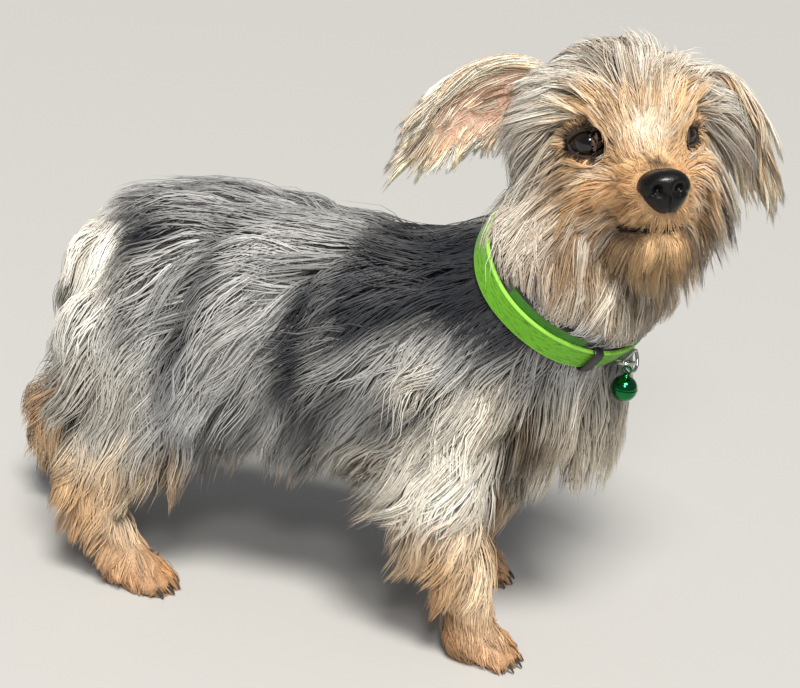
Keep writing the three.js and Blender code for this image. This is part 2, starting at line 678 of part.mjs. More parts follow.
// Ring for the bell, a bow of wire whose straight side lies on the band
function tagRing(grow = 0) {
  const angles = [0, 36, 72, 108, 144, 180].map(radians);
  const middle = byCollar(TAG_ANGLE, COLLAR_RADIUS + 2, -COLLAR_WIDTH / 2 + 2);
  const out = byCollar(TAG_ANGLE, COLLAR_RADIUS + 7, -COLLAR_WIDTH / 2 - 1).sub(middle).normalize();
  const along = byCollar(TAG_ANGLE + 5, COLLAR_RADIUS, 0).sub(byCollar(TAG_ANGLE - 5, COLLAR_RADIUS, 0))
    .normalize();
  const bow = angles.map((a) => middle.clone()
    .addScaledVector(along, 5 * Math.cos(a)).addScaledVector(out, 1 + 6 * Math.sin(a)));
  const bar = [bow[0], bow[bow.length - 1]];
  return join([rod(bow, 0.8, 9, 5, grow), rod(bar, 0.8, 4, 5, grow)]);
}

// Split ring and the round bell that hangs on it
function splitRing(grow = 0) {
  const ring = new THREE.TorusGeometry(3.9, 0.45 + grow, 5, 14);
  ring.rotateX(Math.PI / 2).rotateX(radians(78)).rotateZ(radians(25));
  return solid(ring.translate(RING_AT.x, RING_AT.y, RING_AT.z));
}
function bell(grow = 0) {
  const ball = ballAt(BELL_AT, BELL_RADIUS + grow, 12, 8);
  const cap = BELL_AT.clone().addScaledVector(UP, BELL_RADIUS - 0.4);
  const top = cap.clone().addScaledVector(UP, 1.2);
  return ball.add(rod([cap, top], 1.3, 4, 8, grow));
}
const bellSlot = solid(new THREE.BoxGeometry(9, 0.9, 4)
  .translate(BELL_AT.x, BELL_AT.y, BELL_AT.z - BELL_RADIUS));

// Paws: a low foot with four toes, pressed flat on the floor
function paw([x, y, lean], grow = 0) {
  const turn = new THREE.Vector3(Math.cos(radians(lean)), Math.sin(radians(lean)), 0);
  const side = new THREE.Vector3(-turn.y, turn.x, 0);
  const place = (ahead, aside, z) => new THREE.Vector3(x, y, z - FLOOR_SINK)
    .addScaledVector(turn, ahead).addScaledVector(side, aside);
  const foot = new Form([
    { at: place(-10, 0, 9), wide: 7, deep: 8 },
    { at: place(-2, 0, 8.4), wide: 9.2, deep: 8.4 },
    { at: place(7, 0, 7), wide: 8.6, deep: 7 },
  ]).solid(5, 8, grow);
  const toes = [-6.4, -2.2, 2.2, 6.4].map((aside) => new Form([
    { at: place(4, 0.9 * aside, 6.6), wide: 2.9, deep: 5.4 },
    { at: place(11 - 0.07 * aside * aside, 1.1 * aside, 5.2), wide: 3, deep: 4.4 },
    { at: place(14.5 - 0.07 * aside * aside, 1.15 * aside, 4), wide: 2, deep: 2.6 },
  ]).solid(4, 5, grow));
  return join([foot, ...toes]);
}

// Coat of the legs: feathers behind the forearms, thighs and hocks, in two sets that part at the hock
const FORELEG_SPOTS = [
  { t: 0.2, side: 'outer', length: 28 },
  { t: 0.24, side: 'rear', length: 32 },
  { t: 0.38, side: 'rear', length: 30 },
  { t: 0.42, side: 'outer', length: 26 },
  { t: 0.52, side: 'rear', length: 26 },
  { t: 0.64, side: 'rear', length: 20 },
  { t: 0.62, side: 'outer', length: 20 },
  { t: 0.3, side: 'front', length: 22 },
];
const HINDLEG_SPOTS = [
  { t: 0.05, side: 'outer', length: 42 },
  { t: 0.08, side: 'rear', length: 42 },
  { t: 0.14, side: 'front', length: 36 },
  { t: 0.24, side: 'outer', length: 36 },
  { t: 0.25, side: 'rear', length: 32 },
  { t: 0.36, side: 'front', length: 26 },
  { t: 0.42, side: 'rear', length: 22 },
  { t: 0.46, side: 'outer', length: 20 },
  { t: 0.68, side: 'rear', length: 17, low: true },
  { t: 0.74, side: 'outer', length: 14, low: true },
];
function legLocks(name, form) {
  const right = name.endsWith('right');
  const round = { outer: right ? 0 : 180, rear: right ? 305 : 235, front: right ? 50 : 130 };
  const spots = name.startsWith('foreleg') ? FORELEG_SPOTS : HINDLEG_SPOTS;
  const made = spots.map(({ t, side, length, low = false }, i) => {
    const degrees = vary(round[side], 0.02);
    const run = form.out(t, radians(degrees)).multiplyScalar(side === 'rear' ? 0.55 : 0.2)
      .addScaledVector(UP, -1).addScaledVector(FORWARD, -0.15).normalize();
    const width = 5 + 0.45 * length;
    const lock = lockOn(form, t, degrees, run, {
      length: vary(length, 0.1), width, lift: 2.5 + 1.5 * (i % 2), fall: 0.4, thick: 2.4,
    });
    return { low, lock };
  });
  return [false, true].map((low) => made.filter((one) => one.low === low).map((one) => one.lock));
}

// Every piece is cut clear of those added before it, each grown by the clearance
const pieces = [];
const cutters = [];
function addPiece(name, finish, whole, grown, ownCutters = []) {
  pieces.push({ name, finish, rest: largest(cut(whole, [...cutters, ...ownCutters])) });
  cutters.push(grown);
}

for (const [name, side] of [['eye_right', -1], ['eye_left', 1]]) {
  const eye = (grow) => ballAt(eyeCentre(side), EYE_RADIUS + grow, 12, 8);
  addPiece(name, 'eye', eye(0), eye(GAP));
}
addPiece('nose', 'nose', cut(noseLeather(), nostrils), noseLeather(GAP));
addPiece('collar_band', 'webbing', band(BAND), band(BAND, GAP));
addPiece('collar_lap', 'webbing', band(LAP), band(LAP, GAP));
addPiece('collar_slide', 'plastic', band(SLIDE), band(SLIDE, GAP));
addPiece('tag_ring', 'metal', tagRing(), tagRing(GAP));
addPiece('bell', 'bell', bell(), bell(GAP), [bellSlot]);
addPiece('split_ring', 'metal', splitRing(), splitRing(GAP));
for (const [name, ear] of Object.entries(EARS)) {
  const locks = earLocks(ear);
  addPiece(name, 'cream', coated(earLeaf(ear), locks), coated(earLeaf(ear, GAP), locks, GAP));
}
const crown = headLocks();
addPiece('head', 'tan', coated(headCore(), crown), coated(headCore(GAP), crown, GAP), [mouthLine]);
const ruff = neckLocks();
addPiece('neck', 'cream', coated(NECK.solid(9, 14), ruff), coated(NECK.solid(9, 14, GAP), ruff, GAP),
  [besideCollar(-1)]);

const trunkCoat = [...trunkLocks(), ...endLocks(), ...collarLocks()];
const trunk = (grow) => coated(TRUNK.solid(14, 13, grow).add(NECK_BASE.solid(6, 13, grow)), trunkCoat, grow);
addPiece('torso', 'coat', trunk(0), trunk(GAP), [besideCollar(1)]);

const tailLocks = [0.45, 0.7, 0.95].map((t, i) => lockOn(TAIL, t, 210 + 60 * i, way(-0.6, 0, -1), {
  length: vary(HAIR.tail, 0.1), width: 9, lift: 3, fall: 0.6, thick: FINE_THICK,
}));
addPiece('tail', 'coat', coated(TAIL.solid(7, 8), tailLocks), coated(TAIL.solid(7, 8, GAP), tailLocks, GAP));

const floorSlab = solid(new THREE.BoxGeometry(600, 400, 40).translate(0, 0, -20));
const levelSlab = (z, side) => solid(new THREE.BoxGeometry(600, 400, 200)
  .translate(0, 0, z + side * (100 - GAP / 2)));
for (const [name, { form, paw: spot, hock }] of Object.entries(LEGS)) {
  const [high, low] = legLocks(name, form);
  const core = (grow) => form.solid(11, 8, grow);
  if (!hock) {
    const whole = (grow) => coated(core(grow).add(paw(spot, grow)), high, grow);
    addPiece(name, 'tan', whole(0), whole(GAP), [floorSlab]);
  } else {
    const thigh = (grow) => coated(core(grow).subtract(levelSlab(hock, -1)), high, grow);
    const foot = (grow) => coated(core(grow).subtract(levelSlab(hock, 1)).add(paw(spot, grow)), low, grow);
    addPiece(name, 'tan', thigh(0), thigh(GAP));
    addPiece(name.replace('leg', 'foot'), 'tan', foot(0), foot(GAP), [floorSlab]);
  }
}

// Every solid as a named mesh, the whole set with its origin at the middle of its base
const terrier = new THREE.Group();
for (const { name, finish, rest } of pieces) {
  const geometry = shapeOf(rest);
  geometry.computeVertexNormals();
  const mesh = new THREE.Mesh(geometry, new THREE.MeshStandardMaterial(FINISH[finish]));
  mesh.name = name;
  terrier.add(mesh);
}
const box = new THREE.Box3().setFromObject(terrier);
const middle = box.getCenter(new THREE.Vector3());
terrier.position.set(-middle.x, -middle.y, -box.min.z);

export default terrier;
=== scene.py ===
# Yorkshire terrier standing, a still model at life size, dressed over its faceted solids.
# Sizes are in millimetres in the solids' own axes: +X the way the body faces, +Y its left side, +Z up.

import json
import bpy
import numpy as np
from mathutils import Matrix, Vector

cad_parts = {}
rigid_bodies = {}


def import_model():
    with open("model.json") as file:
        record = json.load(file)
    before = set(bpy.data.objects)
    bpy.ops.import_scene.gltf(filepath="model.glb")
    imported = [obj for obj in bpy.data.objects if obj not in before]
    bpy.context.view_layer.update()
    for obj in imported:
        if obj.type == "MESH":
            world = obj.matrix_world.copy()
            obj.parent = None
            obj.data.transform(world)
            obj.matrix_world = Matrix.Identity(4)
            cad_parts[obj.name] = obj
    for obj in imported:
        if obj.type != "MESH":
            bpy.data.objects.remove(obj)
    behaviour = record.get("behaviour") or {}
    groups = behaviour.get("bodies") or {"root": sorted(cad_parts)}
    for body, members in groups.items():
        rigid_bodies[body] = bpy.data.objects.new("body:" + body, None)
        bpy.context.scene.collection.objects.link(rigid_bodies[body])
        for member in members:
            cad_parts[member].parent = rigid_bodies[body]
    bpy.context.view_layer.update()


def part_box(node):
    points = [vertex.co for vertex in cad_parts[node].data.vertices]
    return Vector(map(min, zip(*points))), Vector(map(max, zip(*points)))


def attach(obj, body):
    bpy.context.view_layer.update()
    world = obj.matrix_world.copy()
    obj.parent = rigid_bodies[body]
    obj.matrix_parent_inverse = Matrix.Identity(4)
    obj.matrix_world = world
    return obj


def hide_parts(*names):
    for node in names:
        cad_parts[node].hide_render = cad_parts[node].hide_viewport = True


for stray in list(bpy.data.objects):
    bpy.data.objects.remove(stray)
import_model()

# The body under the coat: skin over flesh, one unbroken surface from the muzzle to the toes.
# Each part of the body is a run of oval sections along a curved line, and the runs flow into each
# other where they meet. The skin is the surface where the height above all of them is nought.

UP = np.array((0.0, 0.0, 1.0))
FORWARD = np.array((1.0, 0.0, 0.0))
HEAD_AT = np.array((98.3, -21.0, 209.2))  # midway between the eyes
HEAD_TURN, HEAD_LIFT, HEAD_LEAN = np.radians((-68.3, 8.3, 9.1))
EYE_AHEAD, EYE_SPREAD, EYE_RISE = -4.0, 15.6, -0.5
EYE_RADIUS, EYE_SPLAY = 7.4, np.radians(22)
COLLAR_AT, NECK_HALF = np.array((79.5, -10.0, 151.0)), 31.3


def unit(v):
    """Each vector divided by its own length."""
    return v / np.maximum(np.linalg.norm(v, axis=-1, keepdims=True), 1e-9)


def turned(turn, lift, lean):
    """The axes, as columns, of a frame leaned about X, then lifted about Y, then turned about Z."""
    c, s = np.cos((turn, -lift, lean)), np.sin((turn, -lift, lean))
    about_z = np.array(((c[0], -s[0], 0), (s[0], c[0], 0), (0, 0, 1)))
    about_y = np.array(((c[1], 0, s[1]), (0, 1, 0), (-s[1], 0, c[1])))
    about_x = np.array(((1, 0, 0), (0, c[2], -s[2]), (0, s[2], c[2])))
    return about_z @ about_y @ about_x


HEAD_AXES = turned(HEAD_TURN, HEAD_LIFT, HEAD_LEAN)


def in_head(points):
    """Places given forward, left and up from midway between the eyes, put into the body's axes."""
    return np.asarray(points, float) @ HEAD_AXES.T + HEAD_AT


def of_head(points):
    """Places in the body's axes, given forward, left and up from midway between the eyes."""
    return (points - HEAD_AT) @ HEAD_AXES


def eye_middle(side):
    """The middle of an eyeball; side is -1 on the right and 1 on the left."""
    return in_head((EYE_AHEAD, side * EYE_SPREAD, EYE_RISE))


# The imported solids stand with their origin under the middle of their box, so the shift from the
# axes above to theirs is read off an eye.
eye_low, eye_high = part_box("eye_right")
SHIFT = (np.array(eye_low) + np.array(eye_high)) * 500 - eye_middle(-1)


def smooth_line(points, count):
    """count points on a line through the given ones: a cubic between each two, whose slopes come
    from the neighbours on both sides, weighed by the square root of the distance to them."""
    p = np.asarray(points, float)
    p = np.vstack((2 * p[0] - p[1], p, 2 * p[-1] - p[-2]))
    t = np.linspace(0, len(points) - 1, count)
    i = np.minimum(t.astype(int), len(points) - 2)
    w = (t - i)[:, None]
    p0, p1, p2, p3 = (p[i + k] for k in range(4))
    d0, d1, d2 = (np.maximum(np.linalg.norm(b - a, axis=1), 1e-6)[:, None] ** 0.5
                  for a, b in ((p0, p1), (p1, p2), (p2, p3)))
    leave = ((p1 - p0) / d0 - (p2 - p0) / (d0 + d1) + (p2 - p1) / d1) * d1
    arrive = ((p2 - p1) / d1 - (p3 - p1) / (d1 + d2) + (p3 - p2) / d2) * d1
    return (p1 + leave * w + (3 * p2 - 3 * p1 - 2 * leave - arrive) * w ** 2
            + (2 * p1 - 2 * p2 + leave + arrive) * w ** 3)


def run_of_sections(rows, up=UP, count=18, blend=6.0, head=False):
    """Oval sections along a smooth line. A row holds a middle point, a half width and a half depth;
    the depth points as near to up as the line allows."""
    rows = np.asarray(rows, float)
    mid = smooth_line(in_head(rows[:, :3]) if head else rows[:, :3], count)
    size = smooth_line(rows[:, 3:5], count)
    along = unit(np.gradient(mid, axis=0))
    side = unit(np.cross(along, up))
    return dict(mid=mid, side=side, rise=np.cross(side, along), wide=size[:, 0], deep=size[:, 1],
                blend=blend)


def height_over(run, points):
    """How high points lie above a run: for each stretch between two sections, the height over an
    ovoid with that section's half width and depth and a short dome at its ends; the least of them."""
    best = np.full(len(points), 1e9)
    for j in range(len(run["mid"]) - 1):
        step = run["mid"][j + 1] - run["mid"][j]
        h = np.clip((points - run["mid"][j]) @ step / (step @ step), 0, 1)
        away = points - run["mid"][j] - h[:, None] * step
        u = (1 - h) * (away @ run["side"][j]) + h * (away @ run["side"][j + 1])
        v = (1 - h) * (away @ run["rise"][j]) + h * (away @ run["rise"][j + 1])
        w = away @ unit(step)
        wide = (1 - h) * run["wide"][j] + h * run["wide"][j + 1]
        deep = (1 - h) * run["deep"][j] + h * run["deep"][j + 1]
        dome = 0.45 * np.minimum(wide, deep)
        k0 = np.sqrt((u / wide) ** 2 + (v / deep) ** 2 + (w / dome) ** 2)
        k1 = np.sqrt((u / wide ** 2) ** 2 + (v / deep ** 2) ** 2 + (w / dome ** 2) ** 2)
        best = np.minimum(best, k0 * (k0 - 1) / np.maximum(k1, 1e-4))
    return best


# Trunk, neck and head, with the solids' own sizes
RUMP, BREAST, BACK, BELLY, FLANK = -112.0, 98.0, 153.0, 83.0, 35.0
TRUNK_SHARES = ((0.42, 0.42, 3), (0.86, 0.85, 1), (1, 0.97, 0), (1, 1, 0), (1, 1, -1), (1, 1, -1),
                (0.97, 1, 0), (0.78, 0.86, 1), (0.42, 0.5, 2))
RUNS = {
    "trunk": run_of_sections([(RUMP + i * (BREAST - RUMP) / 8, 0, (BACK + BELLY) / 2 + lift,
                               wide * FLANK, deep * (BACK - BELLY) / 2)
                              for i, (wide, deep, lift) in enumerate(TRUNK_SHARES)], blend=12),
    "neck_base": run_of_sections([(44, 2, 120, 24, 26), (62, -2, 134, 30, 31),
                                  (*COLLAR_AT, NECK_HALF, NECK_HALF)], FORWARD, 8, 12),
    "neck": run_of_sections([(64, -3, 134, 30, 30), (*COLLAR_AT, NECK_HALF, NECK_HALF),
                             (85, -9, 168, 26, 26), (88, -1, 186, 22, 22)], FORWARD, 10, 8),
    "skull": run_of_sections([(-50, 0, 2, 14, 15), (-42, 0, 3, 24, 23), (-28, 0, 3, 28, 27),
                              (-12, 0, 2, 26.5, 24), (-3, 0, 0, 23, 19.5), (3, 0, -3, 17.5, 14.5),
                              (8, 0, -7, 12, 10)], HEAD_AXES[:, 2], 14, 8, True),
    "muzzle": run_of_sections([(-6, 0, -12, 15, 12), (6, 0, -13.5, 13.5, 11), (16, 0, -15, 12, 10.5),
                               (25, 0, -16, 10.8, 10), (31, 0, -17, 9, 9.5)],
                              HEAD_AXES[:, 2], 12, 6, True),
    "jaw": run_of_sections([(-22, 0, -24, 17, 10), (-6, 0, -30, 16, 9), (8, 0, -32.5, 13, 7.5),
                            (19, 0, -33, 10, 6.5), (27, 0, -32.5, 6.5, 4.5)], HEAD_AXES[:, 2], 12, 4, True),
    **{f"cheek_{name}": run_of_sections([(-24, 18 * side, -8, 10, 14), (-8, 17 * side, -15, 9.5, 12),
                                         (4, 12 * side, -19, 6, 7)], HEAD_AXES[:, 2], 8, 8, True)
       for name, side in (("right", -1), ("left", 1))},
    "foreleg_right": run_of_sections([(54, -24, 108, 11, 15), (50, -29, 92, 11, 15),
                                      (47, -33, 77, 9.5, 12.5), (53, -34, 58, 8.5, 10.5),
                                      (60, -34, 38, 8, 9), (65, -34, 22, 7.6, 8.4),
                                      (67, -34, 10, 7.6, 8.4)], FORWARD, 14, 8),
    "foreleg_left": run_of_sections([(58, 22, 108, 11, 15), (65, 27, 92, 11, 14), (68, 30, 78, 9.5, 12),
                                     (61, 31, 58, 8.5, 10.5), (56, 32, 38, 8, 9), (53, 32, 22, 7.6, 8.4),
                                     (51, 32, 10, 7.6, 8.4)], FORWARD, 14, 8),
    "hindleg_right": run_of_sections([(-86, -20, 112, 14, 25), (-79, -26, 95, 13.5, 23),
                                      (-70, -31, 79, 11.5, 17.5), (-80, -34, 62, 9.5, 12.5),
                                      (-91, -36, 47, 8, 9.5), (-87, -37, 30, 7.6, 8.4),
                                      (-76, -37, 12, 7.6, 8.4)], FORWARD, 16, 8),
    "hindleg_left": run_of_sections([(-92, 20, 112, 14, 24), (-90, 24, 95, 13.5, 22),
                                     (-88, 27, 81, 11.5, 17), (-109, 24, 63, 9.5, 12),
                                     (-132, 18, 49, 8, 9.5), (-129, 15, 31, 7.6, 8.4),
                                     (-120, 14, 12, 7.6, 8.4)], FORWARD, 16, 8),
    "tail": run_of_sections([(-90, -2, 138, 6, 6), (-99, -4, 132, 6, 6.5), (-106, -7, 121, 5, 5.5),
                             (-109, -9, 110, 3.5, 3.5)], FORWARD, 10, 4),
}
# Each paw's middle and the degrees by which it points out of the straight
PAWS = {"foreleg_right": (71, -34, 4), "foreleg_left": (55, 32, 2), "hindleg_right": (-70, -37, -2),
        "hindleg_left": (-114, 14, 2)}
TOES_AT, SOLE_DROP = (-6.4, -2.2, 2.2, 6.4), 1.2


def paw_place(paw, ahead, aside, z):
    """A place in a paw, ahead of and beside its middle, in the direction that the paw points."""
    x, y, lean = paw
    c, s = np.cos(np.radians(lean)), np.sin(np.radians(lean))
    return x + ahead * c - aside * s, y + ahead * s + aside * c, z - SOLE_DROP


def toe_back(aside):
    """How far a toe stands behind the foremost place: by the square of its place across the paw."""
    return 0.07 * aside * aside


for leg, paw in PAWS.items():
    foot = [(*paw_place(paw, -10, 0, 9), 7, 8), (*paw_place(paw, -2, 0, 8.4), 9, 8.2),
            (*paw_place(paw, 7, 0, 7), 8.4, 6.8)]
    RUNS[leg + "_foot"] = run_of_sections(foot, count=6, blend=5)
    for k, aside in enumerate(TOES_AT):
        back = toe_back(aside)
        toe = [(*paw_place(paw, 4, 0.9 * aside, 6.6), 2.8, 5.2),
               (*paw_place(paw, 11 - back, 1.1 * aside, 5.2), 2.9, 4.2),
               (*paw_place(paw, 14.3 - back, 1.15 * aside, 4), 2, 2.6)]
        RUNS[f"{leg}_toe{k}"] = run_of_sections(toe, count=5, blend=1.5)

# The heights are worked out once on a fine grid of places round the body
GRID_STEP = 1.5
GRID_FROM = np.array((-170.0, -86.0, -6.0))
GRID_SIZE = np.array((232, 118, 190))
REACH = 16.0  # heights are known this far out


def grid_places(low, high):
    """The grid's index ranges and places inside a box."""
    a = np.clip(np.floor((low - GRID_FROM) / GRID_STEP).astype(int), 0, GRID_SIZE - 1)
    b = np.clip(np.ceil((high - GRID_FROM) / GRID_STEP).astype(int) + 1, 1, GRID_SIZE)
    axes = [GRID_FROM[k] + GRID_STEP * np.arange(a[k], b[k]) for k in range(3)]
    return tuple(slice(a[k], b[k]) for k in range(3)), np.stack(np.meshgrid(*axes, indexing="ij"), -1)


def merge_low(a, b, blend):
    """The lower of two heights, with a round fillet of the given width where they are alike."""
    h = np.maximum(blend - np.abs(a - b), 0) / blend
    return np.minimum(a, b) - h * h * blend / 4


body_height = np.full(GRID_SIZE, REACH, np.float32)
for run in RUNS.values():
    reach = np.maximum(run["wide"], run["deep"]).max() + REACH
    part, places = grid_places(run["mid"].min(0) - reach, run["mid"].max(0) + reach)
    height = height_over(run, places.reshape(-1, 3)).reshape(places.shape[:3])
    body_height[part] = merge_low(body_height[part], np.minimum(height, REACH), run["blend"])

# Sockets round the eyes and the line of the mouth are let into the surface
LIPS = [(1, 15), (10, 13), (20, 11), (27, 7.5)]
CHIN_AHEAD, MOUTH_DROP = 30.5, 30.2  # the mouth's front, and how far it lies below the eyes
SOCKET_REACH, SOCKET_GAP, SOCKET_FILLET, MOUTH_REACH, MOUTH_FILLET = 14, 0.2, 4.5, 5, 1.2


def lip_line(rise, out, count):
    """The line between the lips, from the right corner round the front to the left one."""
    points = [(x, -y) for x, y in LIPS] + [(CHIN_AHEAD, 0)] + [(x, y) for x, y in LIPS[::-1]]
    return smooth_line(in_head([(x + 0.25 * out, y * (1 + 0.04 * out), 0.07 * x - MOUTH_DROP + rise)
                                for x, y in points]), count)


def eye_way(side):
    """The way an eye looks, a little outwards."""
    return HEAD_AXES @ np.array((np.cos(side * EYE_SPLAY), np.sin(side * EYE_SPLAY), 0))


skin_height = body_height.copy()
for side in (-1, 1):
    middle, way = eye_middle(side), eye_way(side)
    part, places = grid_places(middle - SOCKET_REACH, middle + SOCKET_REACH)
    ahead = np.clip((places - middle) @ way, 0, None)[..., None]
    ball = EYE_RADIUS + SOCKET_GAP - np.linalg.norm(places - middle - ahead * way, axis=-1)
    skin_height[part] = -merge_low(-skin_height[part], -ball, SOCKET_FILLET)
groove = run_of_sections([(*p, 1.0, 1.0) for p in lip_line(0.4, 1.4, 12)], np.array((0.3, 0.2, 1)), 24)
part, places = grid_places(groove["mid"].min(0) - MOUTH_REACH, groove["mid"].max(0) + MOUTH_REACH)
inside = -height_over(groove, places.reshape(-1, 3)).reshape(places.shape[:3])
skin_height[part] = -merge_low(-skin_height[part], -inside, MOUTH_FILLET)


def with_slopes(height):
    """The heights and their slopes along X, Y and Z, side by side."""
    return np.stack([height, *np.gradient(height, GRID_STEP)], -1).astype(np.float32)


def read_grid(values, points):
    """Values at points between the grid's places: the mean of the eight corners, by nearness."""
    at = np.clip((points - GRID_FROM) / GRID_STEP, 0, GRID_SIZE - 1.001)
    low = at.astype(int)
    w = (at - low).astype(np.float32)
    total = 0
    for corner in np.ndindex(2, 2, 2):
        share = np.prod(np.where(corner, w, 1 - w), axis=-1)
        i, j, k = (low + corner).T
        total = total + share[:, None] * values[i, j, k]
    return total


def surface_of(height):
    """The surface where the height is nought: one vertex in each grid cell that it crosses, at the
    mean of the crossings on the cell's edges, and one quad round each crossed edge."""
    inside = height < 0
    corners = list(np.ndindex(2, 2, 2))
    pick = {c: tuple(slice(c[k], height.shape[k] - 1 + c[k]) for k in range(3)) for c in corners}
    held = sum(inside[pick[c]].astype(np.int8) for c in corners)
    crossed = (held > 0) & (held < 8)
    ids = np.full(crossed.shape, -1)
    ids[crossed] = np.arange(crossed.sum())
    base = np.argwhere(crossed)
    total, number = np.zeros((len(base), 3)), np.zeros(len(base))
    for a in corners:
        for axis in range(3):
            if a[axis]:
                continue
            b = tuple(a[k] + (k == axis) for k in range(3))
            fa, fb = height[pick[a]][crossed], height[pick[b]][crossed]
            cut = (fa < 0) != (fb < 0)
            t = np.where(cut, fa / np.where(cut, fa - fb, 1), 0)
            place = np.array(a) + t[:, None] * (np.array(b) - np.array(a))
            total += cut[:, None] * place
            number += cut
    points = GRID_FROM + GRID_STEP * (base + total / number[:, None])
    quads = []
    for axis in range(3):
        u, v = (axis + 1) % 3, (axis + 2) % 3
        start = [slice(1, n - 1) for n in height.shape]
        start[axis] = slice(0, height.shape[axis] - 1)
        end = list(start)
        end[axis] = slice(1, height.shape[axis])
        leaves = inside[tuple(start)] & ~inside[tuple(end)]
        enters = ~inside[tuple(start)] & inside[tuple(end)]
        first = np.array([s.start for s in start])
        for edges, flip in ((leaves, False), (enters, True)):
            at = np.argwhere(edges) + first
            ring = []
            for du, dv in ((-1, -1), (0, -1), (0, 0), (-1, 0)):
                c = at.copy()
                c[:, u] += du
                c[:, v] += dv
                ring.append(ids[tuple(c.T)])
            quad = np.stack(ring, 1)
            quads.append(quad[:, ::-1] if flip else quad)
    return points, np.vstack(quads)


skin_grid = with_slopes(skin_height)
skin_points, skin_quads = surface_of(skin_height)
for _ in range(3):  # each vertex is moved on to the surface along the slope
    found = read_grid(skin_grid, skin_points)
    slope = found[:, 1:]
    skin_points = skin_points - slope * (found[:, :1] / np.maximum((slope ** 2).sum(1, keepdims=True), 0.2))
SOLE_HEIGHT = 0.35
skin_points[:, 2] = np.maximum(skin_points[:, 2], SOLE_HEIGHT)


def build(name, points, faces, slot, material, **marks):
    """A named piece from points in millimetres and faces of three or four corners each (a list of
    whole arrays). Marks are values on its points: numbers or colours."""
    mesh = bpy.data.meshes.new(name)
    mesh.vertices.add(len(points))
    mesh.vertices.foreach_set("co", ((points + SHIFT) / 1000).astype(np.float32).ravel())
    corners = np.concatenate([f.ravel() for f in faces]).astype(np.int32)
    sides = np.concatenate([np.full(len(f), f.shape[1]) for f in faces])
    mesh.loops.add(len(corners))
    mesh.loops.foreach_set("vertex_index", corners)
    mesh.polygons.add(len(sides))
    mesh.polygons.foreach_set("loop_start", (np.cumsum(sides) - sides).astype(np.int32))
    mesh.update(calc_edges=True)
    mesh.polygons.foreach_set("use_smooth", np.full(len(sides), True))
    for mark, values in marks.items():
        kind, key = ("FLOAT", "value") if values.ndim == 1 else ("FLOAT_COLOR", "color")
        if values.ndim == 2:
            values = np.concatenate((values, np.ones((len(values), 1))), 1)
        layer = mesh.attributes.new(mark, kind, "POINT")
        layer.data.foreach_set(key, values.astype(np.float32).ravel())
    mesh.materials.append(material)
    piece = bpy.data.objects.new(name, mesh)
    bpy.context.scene.collection.objects.link(piece)
    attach(piece, "root")
    return piece


# The markings: steel blue saddle and back, silver flanks, cream and tan legs, golden face.
# They follow the breed's pattern and belong to skin and hair alike. Over them lie painted shade under
# the head and jaw, low on the body and in the grooves between locks, and painted light on the flank
# and the left cheek.

def colour(*rgb):
    """A colour as a row of its red, green and blue."""
    return np.array(rgb, float)


STEEL, SLATE, SILVER = colour(0.022, 0.024, 0.029), colour(0.16, 0.16, 0.165), colour(0.50, 0.495, 0.475)
PEARL, CREAM = colour(0.70, 0.65, 0.56), colour(0.84, 0.72, 0.54)
TAN, GOLD, GINGER = colour(0.60, 0.37, 0.19), colour(0.66, 0.43, 0.22), colour(0.50, 0.23, 0.09)
UMBER, PINK, ORANGE = colour(0.06, 0.035, 0.02), colour(0.66, 0.38, 0.26), colour(0.95, 0.54, 0.26)


def mix(a, b, share):
    """Colour a turned into colour b by a share for each row."""
    return a + (b - a) * np.clip(share, 0, 1)[:, None]


def painted(ground, layers):
    """A ground with colours laid over it in their order, each by its share for each row."""
    for tint, share in layers:
        ground = mix(ground, tint, share)
    return ground


def fall_off(value, start, end):
    """A soft step: 0 before start, 1 past end, and in between the share's square times three less
    twice the share."""
    t = np.clip((value - start) / (end - start), 0, 1)
    return t * t * (3 - 2 * t)


def blob(points, middle, size):
    """1 at a middle and falling softly to 0 at the given half sizes along the three axes."""
    return np.exp(-1.4 * (((points - np.array(middle)) / np.array(size)) ** 2).sum(1))


def drift(points, scale, seed):
    """A slow, smooth drift between -1 and 1 over the body: a few sines of seeded slant added up."""
    pick = np.random.default_rng(seed)
    total = 0
    for _ in range(5):
        way, phase = pick.normal(size=3) / scale, pick.uniform(0, 6.28)
        total = total + np.sin(points @ way + phase)
    return total / 3.2


def streak(points, line, reach):
    """1 on a line over the body's side and falling softly to 0 at a reach from it, on both sides."""
    folded = np.c_[points[:, 0], np.abs(points[:, 1]), points[:, 2]]
    line = smooth_line(line, 12)
    near = np.min([(((folded - q) * (1, 0.4, 1)) ** 2).sum(1) for q in line], axis=0)
    return np.exp(-1.4 * near / reach ** 2)


